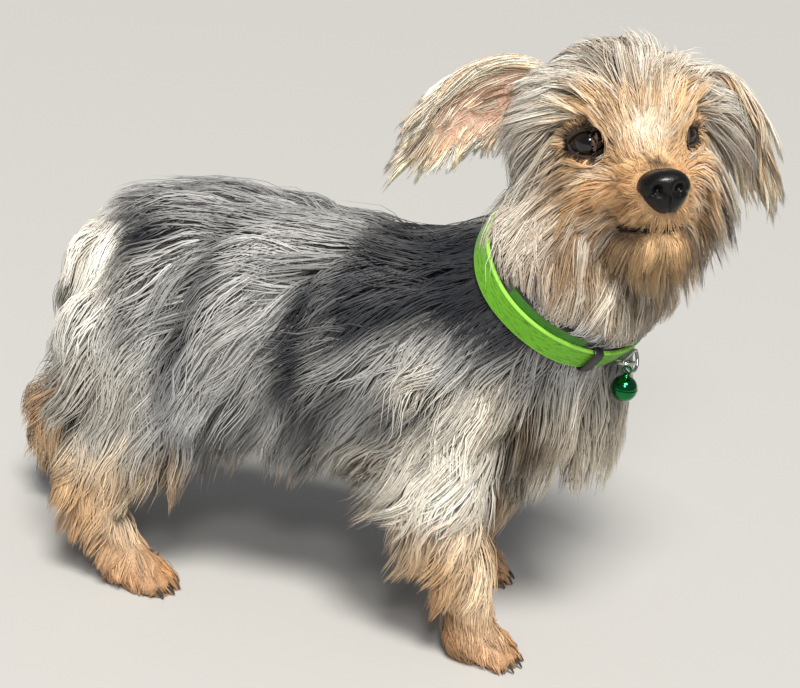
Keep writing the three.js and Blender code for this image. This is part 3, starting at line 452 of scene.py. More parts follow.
def body_markings(p):
    """Colours of the trunk, neck and legs: silver over slate, a steel saddle over the withers and a
    steel patch by the tail, dark grooves down the flanks of steel hair and painted shade, cream at the
    rump, the elbows and below the breast, tan down the legs; painted shade low on the flank, on the
    breast, before the shoulder, behind the elbow and on the left hind leg, and a painted highlight on
    the flank."""
    x, y, z = p.T
    fold = np.c_[x, np.abs(y), z]
    ground = mix(SLATE, SILVER, 0.78 + 0.38 * drift(p, 13, 3) + 0.2 * fall_off(140 - z, 0, 10))
    return painted(ground, [
        (SLATE, 0.5 * fall_off(z, 142, 156)),
        (SILVER, 0.9 * blob(fold, (-32, 36, 124), (16, 20, 18))),
        (1.25 * PEARL, 1.3 * blob(fold, (-104, 18, 124), (22, 36, 22))),
        # painted highlight: a brighter silver spot high on the flank
        (1.15 * SILVER, 0.8 * blob(fold, (-64, 29, 134), (10, 10, 9))),
        (STEEL, 1.7 * blob(fold, (-80, 25, 145), (11, 13, 10))),
        (SLATE, 0.8 * blob(fold, (-88, 8, 150), (14, 16, 12))),
        (STEEL, 0.7 * streak(p, [(-84, 28, 136), (-80, 35, 120), (-76, 38, 106)], 8)),
        (STEEL, 1.3 * streak(p, [(66, 30, 134), (46, 36, 143), (24, 37, 140), (6, 38, 128)], 15)),
        (STEEL, 1.2 * streak(p, [(56, 14, 156), (28, 10, 150), (12, 18, 147), (2, 28, 141)], 12)),
        (STEEL, 0.9 * blob(fold, (40, 20, 158), (34, 34, 13))),
        # dark grooves down the flanks: steel hair, and painted shade where the grooves between locks lie
        (STEEL, 1.2 * streak(p, [(-13, 38, 138), (-11, 42, 110), (-6, 42, 82)], 8)),
        (STEEL, 0.7 * streak(p, [(6, 42, 104), (3, 42, 76)], 7)),
        (STEEL, 0.85 * streak(p, [(-48, 34, 150), (-53, 39, 128), (-59, 42, 94)], 8)),
        (STEEL, 0.7 * blob(fold, (-58, 38, 104), (9, 12, 12))),
        (0.85 * PEARL, 1.0 * fall_off(x, 18, 38) * fall_off(122 - z, 0, 12)),
        # painted shade: slate laid low on the flank, below the body's side
        (1.2 * SLATE, 0.45 * fall_off(108 - z, 0, 16) * fall_off(x, -72, -56) * fall_off(16 - x, 0, 14)),
        (PEARL, 0.9 * fall_off(x, -4, 16) * fall_off(88 - z, 0, 10)),
        (0.65 * PEARL, 0.8 * fall_off(-x, 62, 76) * fall_off(108 - z, 0, 20)),
        (CREAM, 0.5 * fall_off(x, 70, 95) * fall_off(120 - z, 0, 25)),
        # painted shade under the head and collar: darker slate on the breast, before the shoulder and behind
        # the elbow, darker cream before the elbow, and dark brown over the right foreleg's tan top
        (0.7 * SLATE, 0.9 * blob(p, (94, -8, 112), (22, 24, 22))),
        (0.6 * SLATE, 0.85 * blob(fold, (74, 34, 117), (22, 14, 12))),
        (0.7 * SLATE, 1.0 * blob(fold, (35, 35, 100), (24, 18, 9))),
        (0.2 * TAN, 1.3 * blob(p, (77, -18, 93), (15, 24, 13))),
        (0.5 * CREAM, 0.6 * blob(fold, (64, 36, 98), (12, 14, 12))),
        (mix(0.9 * TAN, 0.85 * CREAM, 0.4 + 0.4 * drift(p, 9, 5)), fall_off(70 - z, 0, 26)),
        # painted shade on the left hind leg, over its tan
        (colour(0.20, 0.12, 0.08), 1.1 * blob(p, (-128, 18, 54), (18, 18, 24))),
        (GINGER, 0.62 * fall_off(34 - z, 0, 30))])


def head_markings(p):
    """Colours of the head, given in its own axes: golden face, deeper at the sides of the muzzle and
    lighter on the left cheek as painted light, a cream blaze between the eyes, silver cream crown and
    cheeks, dark along the mouth's line and at its corners, of dark hair and painted shade; painted
    shade on the right cheek and jaw, under the chin and below the jaw."""
    x, y, z = p.T
    side = np.abs(y)
    fold = np.c_[x, side, z]
    wide = side + 0.5 * np.maximum(z, 0)
    ground = mix(GOLD, TAN, 0.35 + 0.3 * drift(p, 7, 9))
    return painted(ground, [
        (PEARL, 0.9 * fall_off(wide - 0.25 * x, 26, 40)),
        (PEARL, 0.85 * fall_off(z, 14, 27)),
        (1.6 * SLATE, 0.75 * fall_off(-x, 34, 48)),
        (SILVER, 0.65 * fall_off(wide - 0.4 * x, 36, 52) * fall_off(z, -34, -10)),
        (ORANGE, 1.4 * blob(fold, (22, 10, -15), (15, 12, 11))),
        (ORANGE, 1.0 * blob(fold, (7, 17, -17), (14, 12, 12))),
        # painted light: brighter orange on the left cheek only, over its orange tan
        (ORANGE, 0.9 * blob(p, (6, 22, -20), (16, 12, 16))),
        (0.8 * TAN, 0.7 * blob(fold, (-4, 4, 17), (8, 14, 8))),
        (colour(0.95, 0.80, 0.60), 1.1 * blob(fold, (10, 0, 5), (11, 9, 10))),
        (colour(0.10, 0.08, 0.065), 0.55 * blob(fold, (-8, 0, 30), (16, 7, 12))),
        (UMBER, 0.85 * blob(fold, (27, 0, -5.5), (7, 5, 3.5))),
        # painted shade on the right side of the head below the ear, over its tan
        (0.5 * TAN, 0.85 * blob(p, (-5, -28, -16), (11, 9, 19))),
        # dark along the mouth's line: dark hair at its corners and painted shade in its crease
        (UMBER, 0.95 * blob(fold, (17, 10, -31.5), (16, 9, 4.2))),
        # painted shade under the chin and on the right jaw below the mouth's corner
        (0.25 * TAN, 0.9 * blob(fold, (4, 12, -42), (18, 18, 11))),
        (UMBER, 0.8 * blob(p, (3, -19, -36), (12, 12, 11))),
        (UMBER, 0.6 * blob(fold, (2, 17, -1), (7, 8, 6.5))),
        (0.5 * UMBER, 0.9 * blob(fold, (6, 10, -2), (6, 4, 6))),
        (colour(0.01, 0.008, 0.008), 1.6 * blob(fold, (31, 0, -15), (6, 8, 6))),
        # painted shade: darker below the jaw, where the beard hangs
        (0.42 * CREAM, 0.85 * fall_off(-z, 42, 54))])


def markings(points, on_head):
    """The colours of skin and hair at places on the body, for the share that each belongs to the
    head; the nape below the right cheek lies in its shade."""
    on_head, near = on_head[:, None], of_head(points)
    own = body_markings(points) * (1 - on_head) + head_markings(near) * on_head
    return mix(own, 0.3 * TAN, blob(near, (2, -32, -40), (20, 18, 17)))


def least_height(names, points):
    """How high points lie above the nearest of the named runs."""
    return np.min([height_over(RUNS[name], points) for name in names], axis=0)


def head_share(points):
    """1 on the head and above the collar, 0 below it, from how near the head's runs are."""
    head = least_height(("skull", "muzzle", "jaw", "cheek_right", "cheek_left"), points)
    body = least_height(("trunk", "neck_base", "foreleg_right"), points)
    return fall_off(body - head, -4, 8)


# The coat's material: silky hair, each strand a little lighter or darker than its neighbours, with
# a soft gloss; the skin below has the same colours, darker, and a fine grain.

def put(nodes, kind, **values):
    """A new shader node, its sockets set to the given values by their names."""
    node = nodes.new("ShaderNode" + kind)
    for socket, value in values.items():
        node.inputs[socket.replace("_", " ")].default_value = value
    return node


def wire(links, *pairs):
    """A link from the first socket of each pair to the second."""
    for source, goal in pairs:
        links.new(source, goal)


def fibre_group():
    """Colour and roughness of a silky strand: its own colour made lighter or darker by fine noise
    over the body, and rougher where the noise is high."""
    group = bpy.data.node_groups.new("silky_fibre", "ShaderNodeTree")
    for way, name, kind in (("INPUT", "Colour", "Color"), ("INPUT", "Scale", "Float"),
                            ("INPUT", "Spread", "Float"), ("OUTPUT", "Colour", "Color"),
                            ("OUTPUT", "Roughness", "Float"), ("OUTPUT", "Height", "Float")):
        group.interface.new_socket(name, in_out=way, socket_type="NodeSocket" + kind)
    nodes = group.nodes
    enter, leave = nodes.new("NodeGroupInput"), nodes.new("NodeGroupOutput")
    place, noise = put(nodes, "TexCoord"), put(nodes, "TexNoise", Detail=2)
    span = put(nodes, "MapRange", From_Min=0.3, From_Max=0.7)
    rough = put(nodes, "MapRange", To_Min=0.34, To_Max=0.62)
    low, high, tone = put(nodes, "Math"), put(nodes, "Math"), put(nodes, "VectorMath")
    low.operation, high.operation, tone.operation = "SUBTRACT", "ADD", "SCALE"
    low.inputs[0].default_value = high.inputs[0].default_value = 1
    wire(group.links, (place.outputs["Object"], noise.inputs["Vector"]),
         (enter.outputs["Scale"], noise.inputs["Scale"]), (noise.outputs["Fac"], span.inputs["Value"]),
         (enter.outputs["Spread"], low.inputs[1]), (enter.outputs["Spread"], high.inputs[1]),
         (low.outputs[0], span.inputs["To Min"]), (high.outputs[0], span.inputs["To Max"]),
         (enter.outputs["Colour"], tone.inputs[0]), (span.outputs["Result"], tone.inputs["Scale"]),
         (tone.outputs["Vector"], leave.inputs["Colour"]), (noise.outputs["Fac"], rough.inputs["Value"]),
         (rough.outputs["Result"], leave.inputs["Roughness"]), (noise.outputs["Fac"], leave.inputs["Height"]))
    return group


FIBRE = fibre_group()


def new_material(name, **values):
    """A material with one Principled shader, its sockets set to the given values: the material, its
    nodes, its links and the shader."""
    material = bpy.data.materials.new(name)
    material.use_nodes = True
    shader = material.node_tree.nodes["Principled BSDF"]
    for socket, value in values.items():
        shader.inputs[socket.replace("_", " ")].default_value = value
    return material, material.node_tree.nodes, material.node_tree.links, shader


def haired(name, scale, spread, bump=0.0, **values):
    """A material whose colour is the piece's own marking with its painted shade, made silky by the fibre
    group.
    """
    material, nodes, links, shader = new_material(name, **values)
    mark, fibre = put(nodes, "Attribute"), put(nodes, "Group")
    mark.attribute_name, fibre.node_tree = "marking", FIBRE
    fibre.inputs["Scale"].default_value, fibre.inputs["Spread"].default_value = scale, spread
    wire(links, (mark.outputs["Color"], fibre.inputs["Colour"]),
         (fibre.outputs["Colour"], shader.inputs["Base Color"]),
         (fibre.outputs["Roughness"], shader.inputs["Roughness"]))
    if bump:
        relief = put(nodes, "Bump", Strength=0.6, Distance=bump)
        wire(links, (fibre.outputs["Height"], relief.inputs["Height"]),
             (relief.outputs["Normal"], shader.inputs["Normal"]))
    return material


coat_material = haired("silky_coat", 700, 0.12, Specular_IOR_Level=0.30)
skin_material = haired("coated_skin", 1500, 0.30, bump=0.0006, Specular_IOR_Level=0.25)

# The ears: a thin leaf of skin each, hollow in front and rooted under the hair of the crown. The
# right one stands open to the side, the left one hangs; both are of one piece with the skin.

EARS = {
    "right": dict(line=((-29, -23, 14), (-33, -38, 16), (-34, -54, 9), (-33, -67, -2)),
                  across=(0.2, 0.15, 1), half=15, cup=-1.5, inner=1),
    "left": dict(line=((-28, 24, 16), (-30, 37, 13), (-29, 46, 0), (-28, 51, -16)),
                 across=(0.75, 0.4, 0.35), half=12, cup=4.0, inner=-1),
}
EAR_THICK, EAR_STEPS = 1.8, 65


def ear_line(ear):
    """The middle line of an ear from its root to its tip, in fine steps."""
    return smooth_line(in_head(ear["line"]), EAR_STEPS)


def ear_frame(ear, t):
    """Middle points of an ear at shares of its length, the ways along, across and out, and its half
    width, which swells and narrows like a sine."""
    fine = ear_line(ear)
    slope = unit(np.gradient(fine, axis=0))
    knots = np.linspace(0, 1, EAR_STEPS)
    mid, along = (np.stack([np.interp(t, knots, column) for column in rows.T], -1) for rows in (fine, slope))
    along = unit(along)
    across = HEAD_AXES @ unit(np.array(ear["across"], float))
    wide = unit(across - along * (along @ across)[..., None])
    return mid, along, wide, np.cross(wide, along), ear["half"] * np.sin(np.pi * (0.2 + 0.785 * t)) ** 0.8


def ear_points(ear, t, lean, layer=0.0):
    """Places on an ear: t along it, lean from -1 to 1 across it, layer how far out of its middle."""
    mid, _, wide, out, reach = ear_frame(ear, t)
    dip = ear["cup"] * (1 - lean ** 2) + layer
    return mid + wide * (reach * lean)[..., None] + out * dip[..., None]


def net(first, last, rows, columns):
    """Two parameters on a grid: one from first to last down the rows, one once round the columns."""
    return np.meshgrid(np.linspace(first, last, rows), np.linspace(0, 2 * np.pi, columns, endpoint=False),
                       indexing="ij")


def grid_faces(rows, columns, closed=False):
    """Quads of a grid of points whose columns run round; closed joins the last row to the first."""
    k = np.arange(rows * columns).reshape(rows, columns)
    down = np.roll(k, -1, 0) if closed else k[1:]
    k = k if closed else k[:-1]
    return np.stack((k, np.roll(k, -1, 1), np.roll(down, -1, 1), down), -1).reshape(-1, 4)


def fan_faces(centre, ring, flip=False):
    """Triangles from one point to the points of a ring."""
    fan = np.stack((np.full(len(ring), centre), ring, np.roll(ring, -1)), 1)
    return fan[:, ::-1] if flip else fan


def outwards(points, faces):
    """Faces turned so that the closed surface they make has its volume inside."""
    volume = 0
    for f in faces:
        for k in range(1, f.shape[1] - 1):
            a, b, c = points[f[:, 0]], points[f[:, k]], points[f[:, k + 1]]
            volume += (a * np.cross(b, c)).sum()
    return faces if volume > 0 else [f[:, ::-1] for f in faces]


def poled(rings, first, last):
    """A closed skin over rows of rings, shut by one point at each end: points and faces."""
    rows, columns = rings.shape[:2]
    count = rows * columns
    points = np.vstack((rings.reshape(-1, 3), [first, last]))
    return points, outwards(points, [grid_faces(rows, columns), fan_faces(count, np.arange(columns), True),
                                     fan_faces(count + 1, np.arange(count - columns, count))])


def looped(rings):
    """A closed skin over rings whose last meets the first: points and faces."""
    points = rings.reshape(-1, 3)
    return points, outwards(points, [grid_faces(*rings.shape[:2], closed=True)])


def joined(parts):
    """Several closed surfaces as one list of points and faces."""
    points, faces, base = [], [], 0
    for p, f in parts:
        faces += [g + base for g in f]
        points.append(p)
        base += len(p)
    return np.vstack(points), faces


parts, tints = [(skin_points, [skin_quads])], [0.8 * markings(skin_points, head_share(skin_points))]
for ear in EARS.values():
    t, angle = net(0, 1, 26, 24)
    leaf = ear_points(ear, t, np.cos(angle), 0.5 * EAR_THICK * np.sin(angle))
    parts.append(poled(leaf, *ear_points(ear, np.array((0.0, 1.0)), np.zeros(2))))
    inner = np.append(fall_off(np.sin(angle).ravel() * ear["inner"], 0.35, 0.75), [0, 0])
    tints.append(mix(0.75 * PEARL, PINK, 0.8 * inner))
skin = build("skin", *joined(parts), "body_coat", skin_material, marking=np.vstack(tints))
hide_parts("head", "neck", "torso", "tail", "ear_right", "ear_left", "foreleg_right", "foreleg_left",
            "hindleg_right", "hindfoot_right", "hindleg_left", "hindfoot_left")

# The eyes: glass balls as a museum sets them, dark brown, wet, with a clear bulging cornea. Each
# lies in its socket between an upper and a lower lid whose rims are bare, dark and moist.

EYES = {-1: ("eye_right", 0.60, -0.50), 1: ("eye_left", 0.38, -0.38)}  # the lids' rims, in radii
CORNEA_RISE, CORNEA_SPAN, IRIS_SPAN, LID_HALF = 0.55, 0.78, 1.35, 0.93


def eye_axes(side):
    """Columns: the way the eye looks, its side way and its up way."""
    look, up = eye_way(side), HEAD_AXES[:, 2]
    return np.stack((look, np.cross(up, look), up), 1)


def eye_material():
    """Dark brown iris with fine spokes round a black pupil, and a dark rim where the white begins."""
    material, nodes, links, shader = new_material(
        "glass_eye", Roughness=0.12, Coat_Weight=1.0, Coat_Roughness=0.015, Coat_IOR=1.5,
        Specular_IOR_Level=0.1)
    polar, place, add, ramp = (put(nodes, kind) for kind in ("Attribute", "TexCoord", "Math", "ValToRGB"))
    spokes = put(nodes, "TexNoise", Scale=2600, Detail=3)
    polar.attribute_name, add.operation = "from_pupil", "MULTIPLY_ADD"
    add.inputs[1].default_value = 0.10
    stops = ramp.color_ramp.elements
    stops[0].color, stops[1].color = (0.002, 0.002, 0.002, 1), (0.10, 0.07, 0.055, 1)
    for at, tint in ((0.30, (0.003, 0.002, 0.002)), (0.38, (0.010, 0.004, 0.002)),
                     (0.60, (0.012, 0.005, 0.003)), (0.70, (0.008, 0.005, 0.004)),
                     (0.86, (0.03, 0.02, 0.016))):
        stops.new(at).color = (*tint, 1)
    wire(links, (place.outputs["Object"], spokes.inputs["Vector"]), (spokes.outputs["Fac"], add.inputs[0]),
         (polar.outputs["Fac"], add.inputs[2]), (add.outputs[0], ramp.inputs["Fac"]),
         (ramp.outputs["Color"], shader.inputs["Base Color"]))
    return material


def raised(wave, power):
    """A sine or cosine with its size raised to a power and its sign kept, which makes an oval boxy
    below 1 and pointed above it."""
    return np.sign(wave) * np.abs(wave) ** power


def lid_places(angle, across, upper, lower):
    """Where a lid lies before the ball, in radii to the side and up, and how far from its middle:
    an almond with upper and lower heights, widened with the share across the lid."""
    rise = np.where(np.sin(angle) > 0, upper, -lower) * raised(np.sin(angle), 1.25)
    edge = np.stack((LID_HALF * np.cos(angle) * (1 - 0.02 * across), rise + 0.04 * np.cos(angle)), -1)
    spread = 1 + (0.62 + 0.2 * np.abs(np.sin(angle))) * np.clip(across - 0.25, 0, 1)
    over = np.interp(across, [0, 0.12, 0.3, 0.6, 1], [-0.3, 0.35, 0.9, 0.9, -0.9])
    return edge * spread[..., None], EYE_RADIUS + over


def lid_ways(flat):
    """The ways from the ball's middle to places given in radii to the side and up."""
    ahead = np.sqrt(np.clip(1 - (flat ** 2).sum(-1), 0.02, 1))
    return unit(np.concatenate((ahead[..., None], flat), -1))


glass_eye = eye_material()
lid_skin = haired("lid_rim", 2500, 0.25, bump=0.0003, Specular_IOR_Level=0.5)
for side, (node, upper, lower) in EYES.items():
    axes = eye_axes(side)
    polar, round_ = net(0.04, np.pi - 0.04, 40, 48)
    reach = EYE_RADIUS - 0.15 + CORNEA_RISE * np.clip(1 - (polar / CORNEA_SPAN) ** 2, 0, 1) ** 1.5
    ball = np.stack((np.cos(polar), np.sin(polar) * np.cos(round_), np.sin(polar) * np.sin(round_)), -1)
    points, faces = poled(ball * reach[..., None], (EYE_RADIUS + 0.4, 0, 0), (0.15 - EYE_RADIUS, 0, 0))
    piece = build(node + "_ball", points @ axes.T + eye_middle(side), faces, "eye", glass_eye,
                  from_pupil=np.append(polar.ravel(), [0, 3.1]) / IRIS_SPAN)
    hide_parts(node)
    # lids: from a rounded rim over the ball back into the skin, dark at the rim and the inner corner
    across, angle = net(0, 1, 9, 56)
    flat, over = lid_places(angle, across, upper, lower)
    shell = lid_ways(flat) * over[..., None]
    points, faces = looped(np.concatenate((0.97 * shell[:1], shell, 0.86 * shell[-1:])))
    shade = np.concatenate((0 * across[:1], across, across[-1:]))
    inner = fall_off(-np.cos(angle[0]) * side, 0.1, 0.7) + 0 * shade
    tint = mix(colour(0.012, 0.008, 0.007), 0.45 * TAN,
               (fall_off(shade, 0.25, 0.6) * (1 - 0.92 * inner)).ravel())
    build(node + "_lids", points @ axes.T + eye_middle(side), faces, "face_coat", lid_skin, marking=tint)

# The nose and the lips: bare black skin. The nose is a moist pebbled pad with two comma nostrils and
# a groove below; the lips are soft dark rims that meet under the moustache.

NOSE_WIDTH, NOSE_LENGTH, NOSE_ABOVE, NOSE_BELOW = 17.0, 7.0, 7.6, 7.4
NOSE_AT = np.array((31.8, 0, -14.6))
LIP_THICK = 0.5


def mottled(name, scale, dark, light, detail=2.0, gloss=None, **values):
    """A material patched by noise over the piece, between a dark and a light tone and, where gloss is
    given, between two roughnesses: the material, its nodes, its links, its shader and the place."""
    material, nodes, links, shader = new_material(name, **values)
    place, ramp = put(nodes, "TexCoord"), put(nodes, "ValToRGB")
    noise = put(nodes, "TexNoise", Scale=scale, Detail=detail)
    ends = ramp.color_ramp.elements
    ends[0].color, ends[1].color = (*dark, 1), (*light, 1)
    wire(links, (place.outputs["Object"], noise.inputs["Vector"]), (noise.outputs["Fac"], ramp.inputs["Fac"]),
         (ramp.outputs["Color"], shader.inputs["Base Color"]))
    if gloss:
        rough = put(nodes, "MapRange", To_Min=gloss[0], To_Max=gloss[1])
        wire(links, (noise.outputs["Fac"], rough.inputs["Value"]),
             (rough.outputs["Result"], shader.inputs["Roughness"]))
    return material, nodes, links, shader, place


# Near-black skin, its pebbles from small cells
moist, nodes, links, shader, place = mottled(
    "moist_nose", 420, (0.0015, 0.0015, 0.0015), (0.006, 0.005, 0.0055), gloss=(0.30, 0.52),
    Specular_IOR_Level=0.16, Coat_Weight=0.25, Coat_Roughness=0.12)
cells, relief = put(nodes, "TexVoronoi", Scale=1500), put(nodes, "Bump", Strength=0.35, Distance=0.0002)
wire(links, (place.outputs["Object"], cells.inputs["Vector"]),
     (cells.outputs["Distance"], relief.inputs["Height"]),
     (relief.outputs["Normal"], shader.inputs["Normal"]))

polar, round_ = net(0.03, 2.5, 64, 96)
ahead, aside, rise = np.cos(polar), np.sin(polar) * np.cos(round_), np.sin(polar) * np.sin(round_)
square = (np.abs(ahead) ** 2.6 + np.abs(aside) ** 2.4 + np.abs(rise) ** 2.4) ** (-1 / 2.5)
half = 0.5 * NOSE_WIDTH * np.clip(1 + 0.36 * rise * square, 0.6, 1.05)
pad = np.stack((NOSE_LENGTH * ahead * square, half * aside * square,
                np.where(rise > 0, NOSE_ABOVE, NOSE_BELOW) * rise * square), -1)
y, z = np.abs(pad[..., 1]), pad[..., 2]
front = fall_off(ahead, 0.0, 0.35)
# nostrils: round at the inner end, drawn out to a slit that curls outwards and down
hole = np.exp(-((y - 3.5) / 1.9) ** 2 - ((z - 1.3 - 0.10 * (y - 4)) / 1.9) ** 2)
slit = np.exp(-((z + 0.3 + 0.06 * (y - 5) ** 2) / 0.6) ** 2) * fall_off(y, 4.0, 5.2)
wing = np.exp(-((y - 4.6) / 2.6) ** 2 - ((z - 4.2) / 1.4) ** 2)
groove = np.exp(-(y / 0.45) ** 2) * fall_off(-z, -0.6, 1.4)
pad[..., 0] -= (3.2 * hole + slit - 0.35 * wing + 0.8 * groove) * front
pad[..., 0] += 0.9 * front * fall_off(z, -6, 5) - 0.015 * y * y
points, faces = poled(pad, pad[0].mean(0), pad[-1].mean(0))
nose = build("nose_pad", in_head(points + NOSE_AT), faces, "nose_leather", moist)
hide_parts("nose")


def tube(line, radius, sides, closed=False, up=UP):
    """A round rod along a line, its radius one number or one for each point: points and faces."""
    run = np.roll(line, -1, 0) - np.roll(line, 1, 0) if closed else np.gradient(line, axis=0)
    along = unit(run)
    side = unit(np.cross(along, up))
    out = np.cross(side, along)
    angle = np.linspace(0, 2 * np.pi, sides, endpoint=False)[None, :, None]
    radius = np.broadcast_to(np.asarray(radius, float), (len(line),))[:, None, None]
    rings = line[:, None] + radius * (side[:, None] * np.cos(angle) + out[:, None] * np.sin(angle))
    return looped(rings) if closed else poled(rings, line[0], line[-1])


lip_width = LIP_THICK * np.interp(np.linspace(0, 1, 48), [0, 0.3, 0.7, 1], [0.2, 0.9, 0.9, 0.2])
lips = [tube(lip_line(rise, out, 48), lip_width, 10) for rise, out in ((0.4, -2.4), (-0.5, -2.6))]
build("lips", *joined(lips), "nose_leather", moist)

# The claws: curved dark horn, one growing from each toe's tip and thinning to its own. They are
# built in one piece with the same horn.

CLAW_THICK, CLAW_TIP = 1.25, 0.3
CLAW_LINE = ((12.5, 1.15, 5.6), (16, 1.2, 4.6), (18.2, 1.22, 2.1))  # ahead, share of the toe's place, up
dark_horn = mottled("dark_horn", 700, (0.012, 0.009, 0.008), (0.09, 0.065, 0.045), Roughness=0.32)[0]
claws = []
for paw in PAWS.values():
    for toe in TOES_AT:
        line = [paw_place(paw, ahead - toe_back(toe), share * toe, z) for ahead, share, z in CLAW_LINE]
        claws.append(tube(smooth_line(line, 9), np.linspace(CLAW_THICK, CLAW_TIP, 9), 8))
build("claws", *joined(claws), "nose_leather", dark_horn)

# The collar: lime nylon webbing, woven in fine ribs with a paler bound edge, once round the neck and
# its end lapped inside under a black slide, the lapped end painted dark green with black edges as
# painted shade. A wire bow on it carries a split ring and a round bell.

COLLAR_RADIUS, COLLAR_WIDTH, COLLAR_THICK = 35.0, 10.0, 1.6
COLLAR_TILT, COLLAR_TURN = np.radians((39.4, -38.7))
COLLAR_WAY = np.array((np.sin(COLLAR_TILT) * np.cos(COLLAR_TURN), np.sin(COLLAR_TILT) * np.sin(COLLAR_TURN),
                       np.cos(COLLAR_TILT)))
COLLAR_LOW = unit(COLLAR_WAY * COLLAR_WAY[2] - UP)
COLLAR_AXES = np.stack((COLLAR_LOW, np.cross(COLLAR_WAY, COLLAR_LOW), COLLAR_WAY), 1)
RIB_ALONG, RIB_ACROSS, BOUND_FROM, SEAM_AT, SEAM_HALF = 0.62, 0.9, 4.05, 3.9, 0.22
LAP_RISE, LAP_GAP, LAP_FROM, LAP_TO = 5, 0.3, *np.radians((-80, -22))
LIME, LIGHT_LIME, DARK_LIME = (0.15, 0.48, 0.006), (0.26, 0.62, 0.05), (0.10, 0.36, 0.006)
# painted shade for the lapped end: a darker green and black edges
SHADED_LIME, SHADOW_BLACK = (0.045, 0.20, 0.010), (0.006, 0.008, 0.006)


def by_collar(angle, radius, rise):
    """Places beside the collar: radians from its low side, radius, and height along its axis."""
    angle, radius, rise = np.broadcast_arrays(angle, radius, rise)
    return np.stack((radius * np.cos(angle), radius * np.sin(angle), rise), -1) @ COLLAR_AXES.T + COLLAR_AT


def webbing_material(name, ground, edge, line, strokes):
    """Woven tape: ribs along and across from two waves, a bound edge of another colour, a dark line
    beside it, and faint brushed strokes of a darker green."""
    material, nodes, links, shader = new_material(name, Roughness=0.55, Specular_IOR_Level=0.4,
                                                  Sheen_Weight=0.15)
    uv, parts = put(nodes, "UVMap"), put(nodes, "SeparateXYZ")
    uv.uv_map = "tape"

    def fed(sockets, values):
        """Each socket set to its value, or linked to it."""
        for socket, value in zip(sockets, values):
            if isinstance(value, bpy.types.NodeSocket):
                links.new(value, socket)
            else:
                socket.default_value = value

    def sum_of(kind, *values):
        """The result of one step of reckoning."""
        node = put(nodes, "Math")
        node.operation = kind
        fed(node.inputs, values)
        return node.outputs[0]

    def blended(factor, a, b):
        """Colour a turned into colour b by a factor."""
        node = put(nodes, "Mix")
        node.data_type = "RGBA"
        fed((node.inputs["Factor"], node.inputs["A"], node.inputs["B"]), (factor, a, b))
        return node.outputs["Result"]

    along, beside = parts.outputs["X"], parts.outputs["Y"]
    across = sum_of("ABSOLUTE", beside)
    warp = sum_of("SINE", sum_of("MULTIPLY", beside, 2 * np.pi / RIB_ALONG))
    weave = sum_of("MULTIPLY_ADD", along, 2 * np.pi / RIB_ACROSS, sum_of("MULTIPLY", warp, 1.5))
    weft = sum_of("SINE", weave)
    height = sum_of("MULTIPLY_ADD", weft, 0.5, sum_of("MULTIPLY", warp, 0.35))
    stretch = put(nodes, "Mapping", Rotation=(0, 0, 0.9), Scale=(0.25, 1.3, 1))
    noise = put(nodes, "TexNoise", Scale=1.0, Detail=3)
    brushed = put(nodes, "MapRange", From_Min=0.52, From_Max=0.64, To_Max=strokes)
    tone = blended(brushed.outputs["Result"], (*ground, 1), (*(0.35 * v for v in ground), 1))
    tone = blended(sum_of("GREATER_THAN", across, BOUND_FROM), tone, (*edge, 1))
    tone = blended(sum_of("COMPARE", across, SEAM_AT, SEAM_HALF), tone, (*line, 1))
    relief = put(nodes, "Bump", Strength=0.55, Distance=0.00018)
    wire(links, (uv.outputs["UV"], parts.inputs["Vector"]), (uv.outputs["UV"], stretch.inputs["Vector"]),
         (stretch.outputs["Vector"], noise.inputs["Vector"]), (noise.outputs["Fac"], brushed.inputs["Value"]),
         (tone, shader.inputs["Base Color"]), (height, relief.inputs["Height"]),
         (relief.outputs["Normal"], shader.inputs["Normal"]))
    return material


def tape(name, radius, rise, start, end, material, whole=False, wave=0.5):
    """A strip of webbing on edge round the neck: a flat oval section with thickened edges carried
    round the collar's axis, a little rumpled by three slow waves."""
    a, t = net(start, end, 181 if whole else 81, 28)
    if whole:
        a, t = a[:-1], t[:-1]
    up = 0.5 * COLLAR_WIDTH * raised(np.sin(t), 0.35)
    thick = 0.5 * COLLAR_THICK * raised(np.cos(t), 0.5) * (1 + 0.25 * fall_off(np.abs(up), 3.9, 4.3))
    lean = 0.06 * np.sin(2 * a + 0.4) + 0.05 * np.sin(5 * a + 1)
    reach = radius + thick + lean * up + wave * 0.35 * np.sin(3 * a + 0.8)
    rings = by_collar(a, reach, rise + up + wave * (0.5 * np.sin(2 * a + 2) + 0.25 * np.sin(5 * a)))
    points, faces = looped(rings) if whole else poled(rings, rings[0].mean(0), rings[-1].mean(0))
    piece = build(name, points, faces, "webbing", material)
    flat = np.stack((a * radius, up), -1).reshape(-1, 2)
    flat = np.vstack((flat, [[start * radius, 0], [end * radius, 0]]))
    corners = np.empty(len(piece.data.loops), np.int32)
    piece.data.loops.foreach_get("vertex_index", corners)
    layer = piece.data.uv_layers.new(name="tape")
    layer.data.foreach_set("uv", flat[corners].astype(np.float32).ravel())
    return piece


band = tape("collar_webbing", COLLAR_RADIUS, 0, 0, 2 * np.pi,
            webbing_material("lime_webbing", LIME, LIGHT_LIME, DARK_LIME, 0.75), True)
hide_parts("collar_band")
# the lapped end: the lime webbing in a shaded copy, dark green with black edges as painted shade
lap = tape("collar_lapped_end", COLLAR_RADIUS - COLLAR_THICK - LAP_GAP, LAP_RISE, LAP_FROM, LAP_TO,
           webbing_material("shaded_lime_webbing", SHADED_LIME, SHADOW_BLACK, SHADOW_BLACK, 0.5), wave=0.3)
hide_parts("collar_lap")

# The slide: a flat loop of black plastic round the band and its lapped end. It is an oval bar
# carried along a boxy loop.

